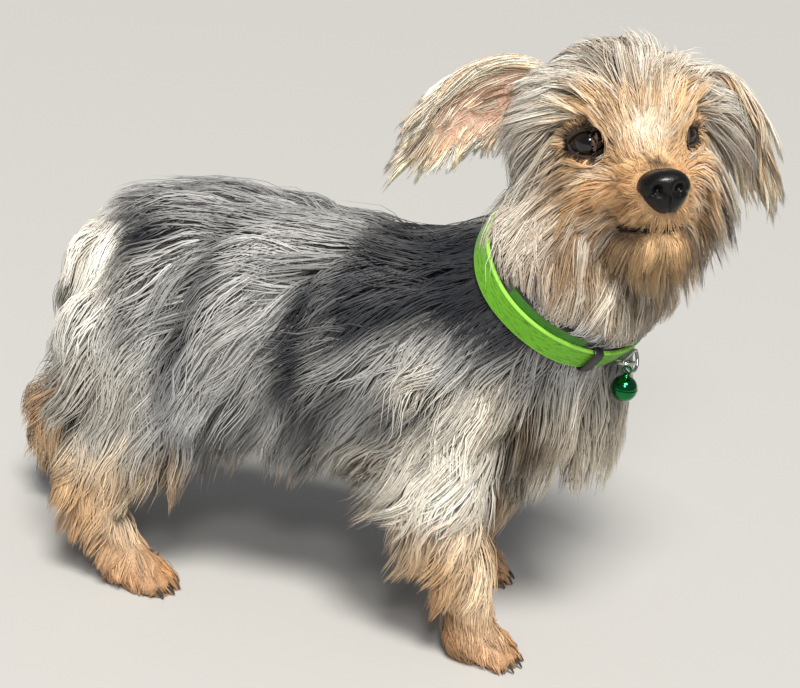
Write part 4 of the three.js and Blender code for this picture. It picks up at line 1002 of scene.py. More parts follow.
SLIDE_DEGREES, SLIDE_GAP, SLIDE_HALF, SLIDE_BAR, SLIDE_EDGE = -12, 1.4, 1.9, 2.2, 0.55
angle = np.linspace(0, 2 * np.pi, 40, endpoint=False)
line = by_collar(np.radians(SLIDE_DEGREES), COLLAR_RADIUS + 0.2 + SLIDE_HALF * raised(np.cos(angle), 0.5),
                 0.5 * (COLLAR_WIDTH + SLIDE_GAP) * raised(np.sin(angle), 0.4))
along = unit(np.roll(line, -1, 0) - np.roll(line, 1, 0))
forth = by_collar(np.radians(SLIDE_DEGREES + 90), 1, 0) - COLLAR_AT
section = np.linspace(0, 2 * np.pi, 12, endpoint=False)[None, :, None]
rings = (line[:, None] + SLIDE_BAR * raised(np.cos(section), 0.5) * forth
         + SLIDE_EDGE * np.sin(section) * np.cross(along, forth)[:, None])
black = mottled("black_slide", 900, (0.008, 0.008, 0.009), (0.022, 0.022, 0.024), Roughness=0.4)[0]
slide = build("collar_keeper", *looped(rings), "keeper", black)
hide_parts("collar_slide")


# The bow, the ring and the bell: bright plated wire bent into a bow and wound twice into a split
# ring, and a ball of green lacquered metal with a seam, a slot below and an eyelet on its neck.

BOW_AT, BOW_HALF, BOW_DROP, BOW_WIRE = np.radians(24), 5, 6, 0.7
RING_AT, RING_RADIUS, RING_PITCH, RING_WIRE = np.array((107.2, -16.5, 124.9)), 3.9, 0.84, 0.40
RING_AXES = turned(np.radians(25), 0, np.radians(90 + 78))
BELL_AT, BELL_RADIUS = np.array((108.6, -19, 115.8)), 5.0
EYELET_RADIUS, EYELET_WIRE = 1.5, 0.42


def metal_material(name, light, dark, rough):
    """Plated metal: two tones of one colour and an uneven gloss from noise."""
    return mottled(name, 350, dark, light, 4, (0.6 * rough, 1.5 * rough), Metallic=1.0, Coat_Weight=0.4,
                   Coat_Roughness=0.05)[0]


steel = metal_material("bright_wire", (0.72, 0.72, 0.72), (0.5, 0.5, 0.52), 0.18)
green = metal_material("green_lacquer", (0.0, 0.20, 0.045), (0.0, 0.11, 0.03), 0.14)

middle = by_collar(BOW_AT, COLLAR_RADIUS + 2, -COLLAR_WIDTH / 2 + 2)
out = unit(by_collar(BOW_AT, COLLAR_RADIUS + 7, -COLLAR_WIDTH / 2 - 1) - middle)
along = unit(by_collar(BOW_AT + 0.1, COLLAR_RADIUS, 0) - by_collar(BOW_AT - 0.1, COLLAR_RADIUS, 0))
turn = np.linspace(0, np.pi, 25)[:, None]
line = np.vstack((middle + along * BOW_HALF * np.cos(turn) + out * (1 + BOW_DROP * np.sin(turn)),
                  middle + along * np.linspace(1 - BOW_HALF, BOW_HALF - 1, 9)[:, None] + out * 0.4))
bow = build("bell_bow", *tube(line, BOW_WIRE, 12, closed=True, up=np.cross(along, out)), "steel", steel)
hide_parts("tag_ring")

turn = np.linspace(0, 4 * np.pi, 97)
coil = np.stack((RING_RADIUS * np.cos(turn), RING_RADIUS * np.sin(turn),
                 np.linspace(-0.5 * RING_PITCH, 0.5 * RING_PITCH, 97)), 1)
ring = build("bell_ring", *tube(coil @ RING_AXES.T + RING_AT, RING_WIRE, 10, up=RING_AXES[:, 2]),
             "steel", steel)
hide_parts("split_ring")

polar, round_ = net(0.02, np.pi - 0.02, 72, 80)
ball = np.stack((np.sin(polar) * np.cos(round_), np.sin(polar) * np.sin(round_), np.cos(polar)), -1)
x, y, z = np.moveaxis(ball, -1, 0)
seam = 0.18 * np.exp(-((polar - np.pi / 2) / 0.045) ** 2)
hole = np.exp(-(((np.abs(x) - 0.78) ** 2 + y ** 2 + (z + 0.6) ** 2) / 0.03) ** 2)
slot = np.maximum(np.exp(-(y / 0.07) ** 4) * fall_off(-z, 0.45, 0.55), hole)
neck = 0.20 * np.exp(-(polar / 0.26) ** 4)
shell = poled(ball * (BELL_RADIUS * (1 + neck) + seam - 1.3 * slot)[..., None],
              (0, 0, 1.19 * BELL_RADIUS), (0, 0, -0.72 * BELL_RADIUS))
turn = np.linspace(0, 2 * np.pi, 33)[:-1]
eyelet = np.stack((EYELET_RADIUS * np.cos(turn), 0 * turn,
                   EYELET_RADIUS * np.sin(turn) + 1.2 * BELL_RADIUS + 1.1), 1)
points, faces = joined([shell, tube(eyelet, EYELET_WIRE, 10, closed=True, up=np.array((0.0, 1, 0)))])
bell = build("round_bell", points + BELL_AT, faces, "bell", green)
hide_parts("bell")

# The coat: long silky hair that hangs in wavy locks. Every tuft is a thin solid that tapers to its
# tip. It is rooted in the skin, combed the way that part of the coat lies, slides over the body
# below, and is drawn towards the middle of its small lock and then of its broad one.

DRAW = np.random.default_rng(11)
triangles = np.vstack((skin_quads[:, [0, 1, 2]], skin_quads[:, [0, 2, 3]]))
middles = skin_points[triangles].mean(1)
facets = np.cross(skin_points[triangles[:, 1]] - skin_points[triangles[:, 0]],
                  skin_points[triangles[:, 2]] - skin_points[triangles[:, 0]])
areas = 0.5 * np.linalg.norm(facets, axis=1)
body_grid = with_slopes(body_height)
head_places, head_shares = of_head(middles), head_share(middles)


def both_sides(rows):
    """Rows of place, way, length, fall, depth and wave as one table of numbers, followed by their
    mirror images on the other side."""
    rows = np.array([[*r[0], *r[1], *r[2:]] for r in rows], float)
    other = rows.copy()
    other[:, [1, 4]] *= -1
    return np.vstack((rows, other))


def read_lie(table, places, reach):
    """The lie of the coat at places: a table's rows, each weighed by a bell curve of its distance."""
    out, total = 0, 1e-12
    for row in table:
        w = np.exp(-((places - row[:3]) ** 2).sum(1) / (2 * reach * reach)) + 1e-12
        out, total = out + w[:, None] * row[3:], total + w
    lie = out / total[:, None]
    lie[:, :3] = unit(lie[:, :3])
    return lie


# Place; way (ahead, out to the side, up); length; share of falling; depth of the coat; wave
BODY_LIE = both_sides([
    ((60, 5, 150), (-1, 0.35, -0.1), 30, 0.10, 3, 1.2),
    ((25, 5, 153), (-1, 0.30, -0.05), 40, 0.12, 5, 1.8),
    ((-20, 5, 154), (-1, 0.30, 0.0), 42, 0.12, 7, 2.4),
    ((-60, 5, 154), (-1, 0.35, -0.05), 42, 0.30, 8, 2.6),
    ((-88, 5, 150), (-0.6, 0.5, -0.6), 28, 0.8, 3, 1.6),
    ((45, 30, 138), (-0.85, 0.2, -0.55), 44, 0.35, 6, 1.8),
    ((5, 32, 138), (-0.9, 0.2, -0.5), 46, 0.35, 6, 1.8),
    ((-45, 32, 138), (-0.85, 0.2, -0.6), 46, 0.4, 6, 1.8),
    ((-90, 28, 136), (-0.6, 0.25, -0.85), 42, 0.5, 6, 1.8),
    ((50, 36, 112), (-0.5, 0.15, -0.85), 44, 0.45, 7, 3.4),
    ((10, 36, 112), (-0.6, 0.1, -0.8), 50, 0.5, 7, 2.8),
    ((-30, 36, 112), (-0.55, 0.1, -0.85), 50, 0.5, 7, 2.8),
    ((-75, 36, 112), (-0.3, 0.1, -0.95), 44, 0.6, 7, 3.2),
    ((-105, 22, 120), (-0.1, 0.1, -1), 34, 0.8, 2.2, 2.2),
    ((-106, 8, 134), (-0.12, 0.3, -1), 28, 0.9, 2.0, 2.0),
    ((-110, 6, 114), (-0.2, 0.2, -1), 34, 0.8, 2.0, 2.2),
    ((42, 32, 92), (-0.9, 0.25, -0.6), 36, 0.35, 6, 3.6),
    ((0, 30, 90), (-0.35, 0.1, -1), 46, 0.6, 6, 2.8),
    ((-40, 30, 90), (-0.3, 0.1, -1), 46, 0.6, 6, 2.8),
    ((-80, 32, 92), (-0.2, 0.12, -1), 38, 0.6, 6, 3.2),
    ((92, 8, 118), (0.1, 0.15, -1), 42, 0.7, 6, 2.2),
    ((80, 24, 122), (-0.2, 0.2, -1), 42, 0.6, 6, 2.4),
    ((78, 12, 98), (0, 0.1, -1), 34, 0.7, 5, 2.2),
    ((0, 6, 84), (-0.4, 0.1, -0.7), 26, 0.7, 3, 1.2),
    ((-60, 6, 84), (-0.4, 0.1, -0.7), 26, 0.7, 3, 1.2),
    ((62, 4, 168), (-0.8, 0.3, -0.6), 24, 0.3, 3, 1.0),
    ((86, 24, 172), (-0.25, 0.4, -0.9), 26, 0.5, 3.5, 1.4),
    ((104, 8, 166), (0.15, 0.2, -1), 22, 0.6, 3, 1.2),
    ((70, 20, 150), (-0.7, 0.35, -0.7), 30, 0.3, 3.5, 1.4),
])
# The same in the head's own axes
HEAD_LIE = both_sides([
    ((28, 3, -8), (-0.8, 0.5, 0.25), 4.5, 0, 0.5, 0.1),
    ((17, 3, -4), (-0.8, 0.5, 0.4), 8, 0, 0.8, 0.2),
    ((7, 3, 3), (-0.40, 0.30, 0.85), 12, 0, 2.0, 0.4),
    ((2, 10, 8), (-0.25, 0.75, 0.55), 12, 0.1, 2.4, 0.4),
    ((-3, 4, 15), (-0.50, 0.45, 0.70), 24, 0.4, 3, 1.2),
    ((-6, 15, 15), (-0.35, 0.9, 0.1), 30, 0.6, 4, 1.8),
    ((-16, 5, 27), (-0.6, 0.75, 0.1), 28, 0.75, 4, 2.0),
    ((-30, 5, 30), (-0.6, 0.8, -0.1), 26, 0.9, 4, 2.0),
    ((-44, 6, 22), (-0.7, 0.5, -0.6), 24, 0.9, 3.5, 1.8),
    ((-46, 10, 2), (-0.4, 0.3, -1), 28, 0.8, 4, 1.8),
    ((-13, 25, 9), (-0.15, 0.45, -0.9), 40, 0.6, 5, 2.4),
    ((-34, 27, 4), (-0.3, 0.4, -0.95), 34, 0.8, 5, 2.2),
    ((0, 19, -8), (-0.25, 0.6, -0.75), 16, 0.4, 3, 0.8),
    ((-8, 26, -12), (-0.12, 0.5, -0.9), 38, 0.5, 7, 2.2),
    ((-14, 22, -28), (-0.1, 0.45, -0.95), 34, 0.6, 7, 2.0),
    ((26, 9, -17), (-0.7, 0.6, -0.2), 7, 0.05, 1.0, 0.2),
    ((14, 12, -18), (-0.75, 0.5, -0.25), 15, 0.15, 2.2, 0.6),
    ((30, 4, -24), (-0.2, 0.8, -0.5), 5, 0.1, 0.9, 0.2),
    ((16, 12, -26), (-0.8, 0.4, -0.4), 13, 0.15, 1.6, 0.6),
    ((26, 4, -35), (0.1, 0.3, -1), 11, 0.4, 1.5, 0.6),
    ((16, 6, -39), (0.05, 0.2, -1), 24, 0.5, 5, 1.4),
    ((-4, 8, -40), (-0.1, 0.2, -1), 30, 0.6, 5, 1.8),
    ((-26, 8, -32), (-0.2, 0.2, -1), 30, 0.6, 5, 1.8),
    ((6, 8, -1), (-0.3, 0.3, 0.85), 5, 0, 1, 0.1),
])


def leg_lie(places):
    """The lie on the legs, by height: long feathering above, short below, paws combed forwards."""
    z = places[:, 2]
    knots = [0, 9, 22, 40, 60, 80, 100]
    out = np.sign(places[:, 1]) * np.interp(z, knots, [0.05, 0.1, 0.2, 0.25, 0.2, 0.15, 0.12])
    ahead = np.interp(z, knots, [0.9, 0.35, -0.12, -0.25, -0.4, -0.4, -0.35])
    way = unit(np.stack((ahead, out, np.full(len(z), -0.85)), 1))
    rest = [np.interp(z, knots, row) for row in (
        [4, 5, 11, 18, 26, 34, 40], [0.1, 0.1, 0.35, 0.45, 0.5, 0.5, 0.5], [0.8, 1.2, 2.4, 3.4, 4.5, 5.5, 6],
        [0.1, 0.2, 0.8, 1.4, 2.0, 2.2, 2.2])]
    return np.column_stack((way, *rest))


def turn_about(vectors, axes, angles):
    """Each vector turned about its own axis by its own angle."""
    c, s = np.cos(angles)[:, None], np.sin(angles)[:, None]
    kept = (vectors * axes).sum(1, keepdims=True)
    return vectors * c + np.cross(axes, vectors) * s + axes * kept * (1 - c)


def nearest(places, seeds):
    """The number of the seed nearest to each place."""
    best = np.empty(len(places), int)
    for k in range(0, len(places), 2000):
        part = places[k:k + 2000]
        best[k:k + 2000] = ((part[:, None] - seeds[None]) ** 2).sum(-1).argmin(1)
    return best


def locks_of(places, size):
    """Groups roots into locks about a size apart: the first root in each cell of a slanted grid of
    that size leads, and every root follows the leader nearest to it."""
    cells = np.floor((places @ turned(0.4, 0.5, 0.6)) / size).astype(int)
    leaders = np.unique(cells, axis=0, return_index=True)[1]
    return leaders[nearest(places, places[leaders])]


def clear_of(points, walls):
    """Points pushed out of what the hair lies round: capsules given as start, end and radius."""
    for start, end, radius in walls:
        step = end - start
        h = np.clip((points - start) @ step / (step @ step), 0, 1)
        away = points - start - h[:, None] * step
        far = np.linalg.norm(away, axis=1, keepdims=True)
        beside = start + h[:, None] * step + away / np.maximum(far, 1e-6) * radius
        points = np.where(far < radius, beside, points)
    return points


BAND_HALF, BAND_REACH, UNDER_BAND, OVER_BAND, LAP_MIDDLE, LAP_HALF = 5.5, 16, 1.3, 1.6, -0.89, 0.6


def pressed(points, free):
    """Points near the collar drawn in under its webbing, by a cone that widens with the distance
    from the band; those of free tufts are pushed out over it instead."""
    near = (points - COLLAR_AT) @ COLLAR_AXES
    far, high = np.hypot(near[:, 0], near[:, 1]), np.abs(near[:, 2])
    past = np.clip(high - BAND_HALF, 0, None)
    above = near[:, 2] > 0
    lapped = (np.abs(np.arctan2(near[:, 1], near[:, 0]) - LAP_MIDDLE) < LAP_HALF) * above
    limit = COLLAR_RADIUS - UNDER_BAND - 1.9 * lapped + np.where(above, 0.55, 0.95) * past
    over = COLLAR_RADIUS + OVER_BAND - 0.5 * past
    want = np.where(free, np.maximum(far, over), np.minimum(far, limit))
    want = np.where((high < BAND_REACH) & (far < COLLAR_RADIUS + BAND_REACH), want, far)
    near[:, :2] *= (want / np.maximum(far, 1e-6))[:, None]
    return near @ COLLAR_AXES.T + COLLAR_AT


def bundled(roots, lock, tuft, stray=0.02):
    """What a set of tufts shares: each one's leader in its broad and in its small lock, its own eight
    random numbers, and whether it strays."""
    own = DRAW.normal(size=(len(roots), 8))
    return locks_of(roots, lock), locks_of(roots, tuft), own, DRAW.random(len(roots)) < stray


def waved(line, slopes, length, wave, bundle, gather):
    """Middle lines given the wave of their lock, from side to side and a little in and out, drawn to
    the leaders of their broad and small locks towards the tips, and curled a little each."""
    broad, small, own, astray = bundle
    count, rings = line.shape[:2]
    share = np.linspace(0, 1, rings)
    along = unit(np.gradient(line, axis=1))
    across = unit(np.cross(along, slopes))
    turns = share[None] * (length / np.clip(38 + 6 * own[broad, 7], 26, 55))[:, None]
    phase = 2 * np.pi * (turns + 0.37 * own[broad, 0][:, None] + 0.06 * own[small, 2][:, None])
    swing = 1.25 * wave[:, None] * share ** 0.8
    line = line + across * (swing * (np.sin(phase) - np.sin(phase[:, :1])))[..., None]
    line = line + slopes * (0.35 * swing * (np.cos(phase * 0.9) - np.cos(phase[:, :1] * 0.9)))[..., None]
    line = line + (line[broad] - line) * (0.50 * share ** 1.2)[None, :, None]
    drawn = gather * share ** 0.9 * np.where(astray, 0.15, 1)[:, None]
    line = line + (line[small] - line) * drawn[..., None]
    curl = DRAW.normal(size=(count, 2, 3)) * np.minimum(0.25 + 1.2 * astray, 0.05 * length)[:, None, None]
    return line + curl[:, :1] * np.sin(3.0 * share)[None, :, None] + curl[:, 1:] * (share ** 2)[None, :, None]


ROOT_DEPTH, SKIN_GAP, FLOOR_GAP, CUT_SHARE = 0.5, 0.35, 0.6, 0.25


def grow(roots, normals, lie, rings, walls, bundle, lift, gather, loose=0.0):
    """Middle lines of tufts. Each starts out of the skin, turns to its comb way and then downwards by
    its share of falling, in equal steps; where it would sink below its own layer over the body it is
    moved out along the slope. Then it is waved, and kept out of the skin and under the collar, but
    for a loose share of the hair behind and above it, which falls over it. Hair that would cross a
    wall between two of its points is cut short."""
    broad, small, own, _ = bundle
    count = len(roots)
    skew = 0.20 * own[broad, 0] + 0.12 * own[small, 1] + 0.06 * own[:, 2]
    way = turn_about(lie[:, :3], normals, skew)
    stretch = 1 + 0.10 * own[broad, 3] + 0.10 * own[small, 4] + 0.08 * own[:, 5]
    length, fall, depth, wave = lie[:, 3] * np.clip(stretch, 0.5, 1.35), lie[:, 4], lie[:, 5], lie[:, 6]
    layer = depth * (1 - 0.55 * DRAW.random(count) ** 1.6) * np.clip(1 + 0.25 * own[broad, 6], 0.5, 1.5)
    above = ((roots - COLLAR_AT) @ COLLAR_AXES)[:, 2] > 5
    free = (DRAW.random(count) < loose) & above & (roots[:, 0] < COLLAR_AT[0] - 8)
    ahead = unit(way - normals * (way * normals).sum(1, keepdims=True) * 0.8 + normals * lift)
    point = roots - ROOT_DEPTH * normals
    line, slopes = [point], [normals]
    steps = 2 * rings - 2
    for k in range(1, steps + 1):
        s = k / steps
        want = unit(way * (1 - fall * s)[:, None] - UP * (fall * s)[:, None])
        ahead = unit(0.62 * ahead + 0.38 * want)
        point = point + ahead * (length / steps)[:, None]
        found = read_grid(body_grid, point)
        slope = unit(found[:, 1:])
        sunk = np.clip(layer * min(1, 2.6 * s) - found[:, 0], 0, 3)[:, None]
        point = point + slope * sunk
        ahead = unit(ahead - slope * np.minimum((ahead * slope).sum(1, keepdims=True), 0) * (sunk > 0))
        point = pressed(clear_of(point, walls), free)
        if k % 2 == 0:
            line.append(point)
            steep = np.linalg.norm(found[:, 1:], axis=1, keepdims=True) > 0.3
            slopes.append(np.where(steep, slope, slopes[-1]))
    line, slopes = np.stack(line, 1), np.stack(slopes, 1)
    line = waved(line, slopes, length, wave, bundle, gather)
    places = clear_of(line[:, 1:].reshape(-1, 3), walls)
    found = read_grid(body_grid, places)
    places = places + unit(found[:, 1:]) * np.clip(SKIN_GAP - found[:, :1], 0, 4)
    line[:, 1:] = places.reshape(line[:, 1:].shape)
    line = pressed(line.reshape(-1, 3), np.repeat(free, rings)).reshape(line.shape)
    line[:, 1:, 2] = np.maximum(line[:, 1:, 2], FLOOR_GAP)
    halfway = 0.5 * (line[:, 1:] + line[:, :-1])
    beside = clear_of(halfway.reshape(-1, 3), walls).reshape(halfway.shape)
    across = (np.linalg.norm(beside - halfway, axis=-1) > 0.8).any(1)
    line[across] = line[across, :1] + CUT_SHARE * (line[across] - line[across, :1])
    return line, slopes


TUFT_FLATNESS, MAP_SPAN = 0.62, 0.003


def tufts(name, line, slopes, width, colours, roots_on_map, slot, soft=0.5):
    """Closed tapered tufts round their middle lines: three-sided rings, flat to the skin, a cap at the
    root and a point at the tip. Width is one number for each tuft; colours one for each ring. They
    are shaded by the side of the tuft that faces out, leaned to each corner by the soft share, so
    that a lock shines as one; hair that shows both its sides has no soft share."""
    count, rings = line.shape[:2]
    along = unit(np.gradient(line, axis=1))
    across = unit(np.cross(along, slopes))
    out = np.cross(across, along)
    taper = np.interp(np.linspace(0, 1, rings), [0, 0.15, 0.45, 0.8, 1], [0.75, 1, 1, 0.7, 0])[:-1]
    angle = np.pi * (0.5 + np.arange(3) * 2 / 3)
    beside, over = across[:, :-1, None], out[:, :-1, None]
    half = 0.5 * width[:, None] * taper
    ring = (line[:, :-1, None] + beside * (half[..., None] * np.cos(angle))[..., None]
            + over * (TUFT_FLATNESS * half[..., None] * np.sin(angle))[..., None])
    each = 3 * (rings - 1) + 1
    points = np.concatenate((ring.reshape(count, -1, 3), line[:, -1:]), 1).reshape(-1, 3)
    a = np.arange(3)
    b = (a + 1) % 3
    k = 3 * np.arange(rings - 2)[:, None]
    quads = np.stack((k + b, k + a, k + a + 3, k + b + 3), -1).reshape(-1, 4)
    tips = np.stack((b + each - 4, a + each - 4, np.full(3, each - 1)), 1)
    ends = np.vstack((tips, [[0, 1, 2]]))
    base = each * np.arange(count)[:, None, None]
    faces = [(quads + base).reshape(-1, 4), (ends + base).reshape(-1, 3)]
    tint = np.concatenate((np.repeat(colours[:, :-1], 3, 1), colours[:, -1:]), 1).reshape(-1, 3)
    piece = build(name, points, faces, slot, coat_material, marking=tint)
    if soft is not None:
        shown = unit(out + slopes)
        corner = beside * np.cos(angle)[:, None] + over * np.sin(angle)[:, None]
        lean = unit(shown[:, :-1, None] + soft * corner)
        facing = np.concatenate((lean.reshape(count, -1, 3), shown[:, -1:]), 1).reshape(-1, 3)
        piece.data.normals_split_custom_set_from_vertices(facing.astype(np.float32))
    spread = np.stack(np.broadcast_arrays(a[None] / 3, np.linspace(0, 1, rings)[:-1, None]), -1)
    spread = np.vstack((spread.reshape(-1, 2), [0.5, 1])) * MAP_SPAN
    on_map = (roots_on_map[:, None] + spread).reshape(-1, 2)
    layer = piece.data.uv_layers.new(name="OFBake")
    corners = np.concatenate([f.ravel() for f in faces])
    layer.data.foreach_set("uv", on_map[corners].astype(np.float32).ravel())
    return piece


def unwrapped(places, tile):
    """Where roots lie on an unwrap of the skin: the angle round the trunk or head and the place
    along it, set in one tile of a four by four sheet."""
    middle, low, high = places.mean(0), places.min(0), places.max(0)
    long = (high - low).argmax()
    u, v = [k for k in range(3) if k != long]
    angle = np.arctan2(places[:, u] - middle[u], places[:, v] - middle[v]) / (2 * np.pi) + 0.5
    run = (places[:, long] - low[long]) / (high - low)[long]
    return (np.stack((angle, run), 1) * 0.9 + 0.04 + np.array(divmod(tile, 4))) / 4


def sampled(weights, count):
    """Roots on the skin, picked by area and weight: places, outward ways and shares of the head."""
    chance = areas * np.clip(weights, 0, None)
    pick = DRAW.choice(len(chance), count, p=chance / chance.sum())
    u, v = DRAW.random((2, count, 1))
    flip = u + v > 1
    u, v = np.where(flip, 1 - u, u), np.where(flip, 1 - v, v)
    a, b, c = (skin_points[triangles[pick, k]] for k in range(3))
    return a + (b - a) * u + (c - a) * v, unit(facets[pick]), head_shares[pick]


def shaded(colours, edge, bundle, dark, spread):
    """The colour of each ring: its marking, lighter or darker by lock and by tuft, some tufts much
    darker, darker to the edge of a lock as painted shade in the grooves between locks, all a little
    paler to the tip."""
    broad, small, own, _ = bundle
    count, rings = colours.shape[:2]
    tone = np.exp(0.13 * own[broad, 5] + 0.09 * own[small, 3] + spread * own[:, 4])
    # painted shade: tufts darker towards the edge of their lock, in the grooves between locks
    tone = tone * (1.08 - 0.30 * np.clip(edge, 0, 1) ** 2)
    picked = (DRAW.random(count)[small] < dark) | (DRAW.random(count) < 0.4 * dark)
    tone = np.where(picked, 0.5 * tone, tone)
    fade = 0.86 + 0.20 * np.linspace(0, 1, rings) ** 0.7
    return np.clip(colours * tone[:, None, None] * fade[None, :, None], 0.004, 0.92)


EYE_WALLS = [(eye_middle(side), eye_middle(side) + 30 * eye_way(side), 6.7 - 0.7 * side) for side in (-1, 1)]
BELL_WALL = [(BELL_AT, BELL_AT + np.array((0, 0, 12.0)), 7.0)]
hx, hy, hz = head_places.T
mx, my, mz = middles.T
on_head = head_shares > 0.5
to_eye = np.min([np.linalg.norm(middles - eye_middle(side), axis=1) for side in (-1, 1)], axis=0)
in_nose = (hx > 27.5) & (np.abs(hy) < 8.5) & (hz > -19.5) & (hz < -8)
in_mouth = (hx > -2) & (np.abs(hz - 0.07 * hx + MOUTH_DROP) < np.where(hx > 20, 1.4, 0.5))
face = on_head & ~((to_eye < EYE_RADIUS + 0.9) | in_nose | in_mouth)
leg_share = np.where(on_head, 0, fall_off(78 - mz, 0, 10))
trunk = (~on_head) * (leg_share < 0.5)
flank = trunk * (mx > -60) * fall_off(132 - mz, 0, 14)
COAT = [
    # name, weights of the skin's facets, tufts, rings, width, broad lock, small lock, share of dark
    # tufts, spread of tone, how far the roots stand up
    ("back", trunk * (mx > -60) * fall_off(mz, 112, 128), 4800, 7, 0.50, 18, 3.4, 0.04, 0.09, 0.3),
    ("side_right", flank * (my < 0), 5600, 7, 0.48, 18, 3.4, 0.04, 0.09, 0.3),
    ("side_left", flank * (my > 0), 3400, 6, 0.62, 18, 3.4, 0.04, 0.09, 0.3),
    ("rump", trunk * (mx <= -60), 5000, 7, 0.50, 17, 3.4, 0.03, 0.09, 0.15),
    ("legs_right", leg_share * (my < 0), 4800, 5, 0.46, 11, 2.8, 0.02, 0.10, 0.2),
    ("legs_left", leg_share * (my > 0), 3400, 5, 0.52, 11, 2.8, 0.02, 0.10, 0.2),
    ("muzzle", face * (hx > 8) * (1 + 1.2 * (hx > 22)), 5800, 5, 0.27, 6, 2.2, 0.01, 0.10, 0.08),
    ("brow", face * (hx > -4) * (hx <= 8), 5200, 5, 0.30, 7, 2.4, 0.03, 0.10, 0.12),
    ("crown", face * (hx <= -4) * (hz > 6), 4200, 6, 0.38, 11, 2.8, 0.08, 0.10, 0.18),
    ("cheeks", face * (hx <= -4) * (hz <= 6), 5000, 6, 0.38, 11, 2.8, 0.03, 0.10, 0.2),
]
OWN_SHARE, RING_SHOWN, LOOSE_CHEEKS = 0.5, 0.55, 0.22
for tile, (name, weights, count, rings, width, lock, tuft, dark, spread, lift) in enumerate(COAT):
    roots, normals, share = sampled(weights.astype(float), count)
    head_lie = read_lie(HEAD_LIE, of_head(roots), 8.0)
    head_lie[:, :3] = head_lie[:, :3] @ HEAD_AXES.T
    body_lie = read_lie(BODY_LIE, roots, 16.0)
    low = fall_off(92 - roots[:, 2], 0, 20)[:, None] * ("legs" in name)
    body_lie = body_lie * (1 - low) + leg_lie(roots) * low
    lie = body_lie * (1 - share[:, None]) + head_lie * share[:, None]
    lie[:, :3] = unit(lie[:, :3])
    facial = share.mean() > 0.3
    bundle = bundled(roots, lock, tuft)
    broad, small, own, _ = bundle
    line, slopes = grow(roots, normals, lie, rings, EYE_WALLS if facial else BELL_WALL, bundle, lift,
                        0.33 if facial else 0.26, LOOSE_CHEEKS * (name == "cheeks"))
    # a tuft keeps part of the colour of the place where it shows most
    shown = (1 - OWN_SHARE) * line + OWN_SHARE * line[:, round(RING_SHOWN * (rings - 1)), None]
    colours = markings(shown.reshape(-1, 3), np.repeat(share, rings))
    if facial:
        near = of_head(roots)
        pale = np.clip(0.45 * own[small, 7], 0, 0.6) * fall_off(30 - near[:, 0], 4, 20)
        colours = mix(colours, PEARL, np.repeat(pale, rings))
        colours = mix(colours, 0.5 * TAN, np.repeat(np.clip(-0.28 * own[small, 7], 0, 0.5), rings))
        dark = dark + 0.45 * blob(near, (-6, 0, 22), (18, 9, 16))
    # how far each tuft lies towards the edge of its broad lock, for the painted shade in the grooves
    edge = np.linalg.norm(roots - roots[broad], axis=1) / (0.75 * lock)
    colours = shaded(colours.reshape(line.shape), edge, bundle, dark, spread)
    wide = np.interp(lie[:, 3], [4, 30], [0.75, 1.05]) * (1 + 0.18 * own[:, 6])
    tufts("coat_" + name, line, slopes, width * np.clip(wide, 0.4, 1.6), colours, unwrapped(roots, tile),
          "face_coat" if facial else "body_coat")

# The hair of the lids: short, dark at the rims, combed away from the eye and shorter still in its
# inner corner. It grows out of the lids as the coat does out of the skin.

LID_TUFTS, LID_RINGS, LID_WIDTH = 420, 5, 0.30
for tile, (side, (node, upper, lower)) in enumerate(EYES.items(), 14):
    angle, across = DRAW.uniform(0, 2 * np.pi, LID_TUFTS), DRAW.uniform(0.28, 1, LID_TUFTS)
    flat, over = lid_places(angle, across, upper, lower)
    look = lid_ways(flat) @ eye_axes(side).T
    roots = eye_middle(side) + look * (over - 0.2)[:, None]
    away = np.column_stack((0 * angle, np.cos(angle), np.sin(angle))) @ eye_axes(side).T
    way = unit(away + 0.25 * look - 0.3 * UP)
    inner = fall_off(away @ unit(eye_middle(-side) - eye_middle(side)), 0.0, 0.5)
    length = np.interp(across, [0, 1], [2.2, 6.5]) * (1 - 0.8 * inner)
    lie = np.column_stack((way, length, np.tile([0.2, 0.6, 0.2], (LID_TUFTS, 1))))
    bundle = bundled(roots, 5, 1.6, 0)
    line, slopes = grow(roots, look, lie, LID_RINGS, (), bundle, 0.15, 0.4)
    colours = mix(colour(0.03, 0.02, 0.015), markings(roots + 5 * away, np.ones(LID_TUFTS)),
                  fall_off(across, 0.3, 0.75) * (1 - 0.9 * inner))
    colours = shaded(np.repeat(colours[:, None], LID_RINGS, 1), 0 * across, bundle, 0.02, 0.10)
    tufts(f"coat_lids_{node[4:]}", line, slopes, LID_WIDTH * np.clip(1 + 0.18 * bundle[2][:, 6], 0.5, 1.5),
          colours, unwrapped(roots, tile), "face_coat")

# The wisps: a few long single hairs that fall from the brow over the inner corner of each eye and on
# to the cheek. They follow one path, each a little beside it and more so towards its tip.

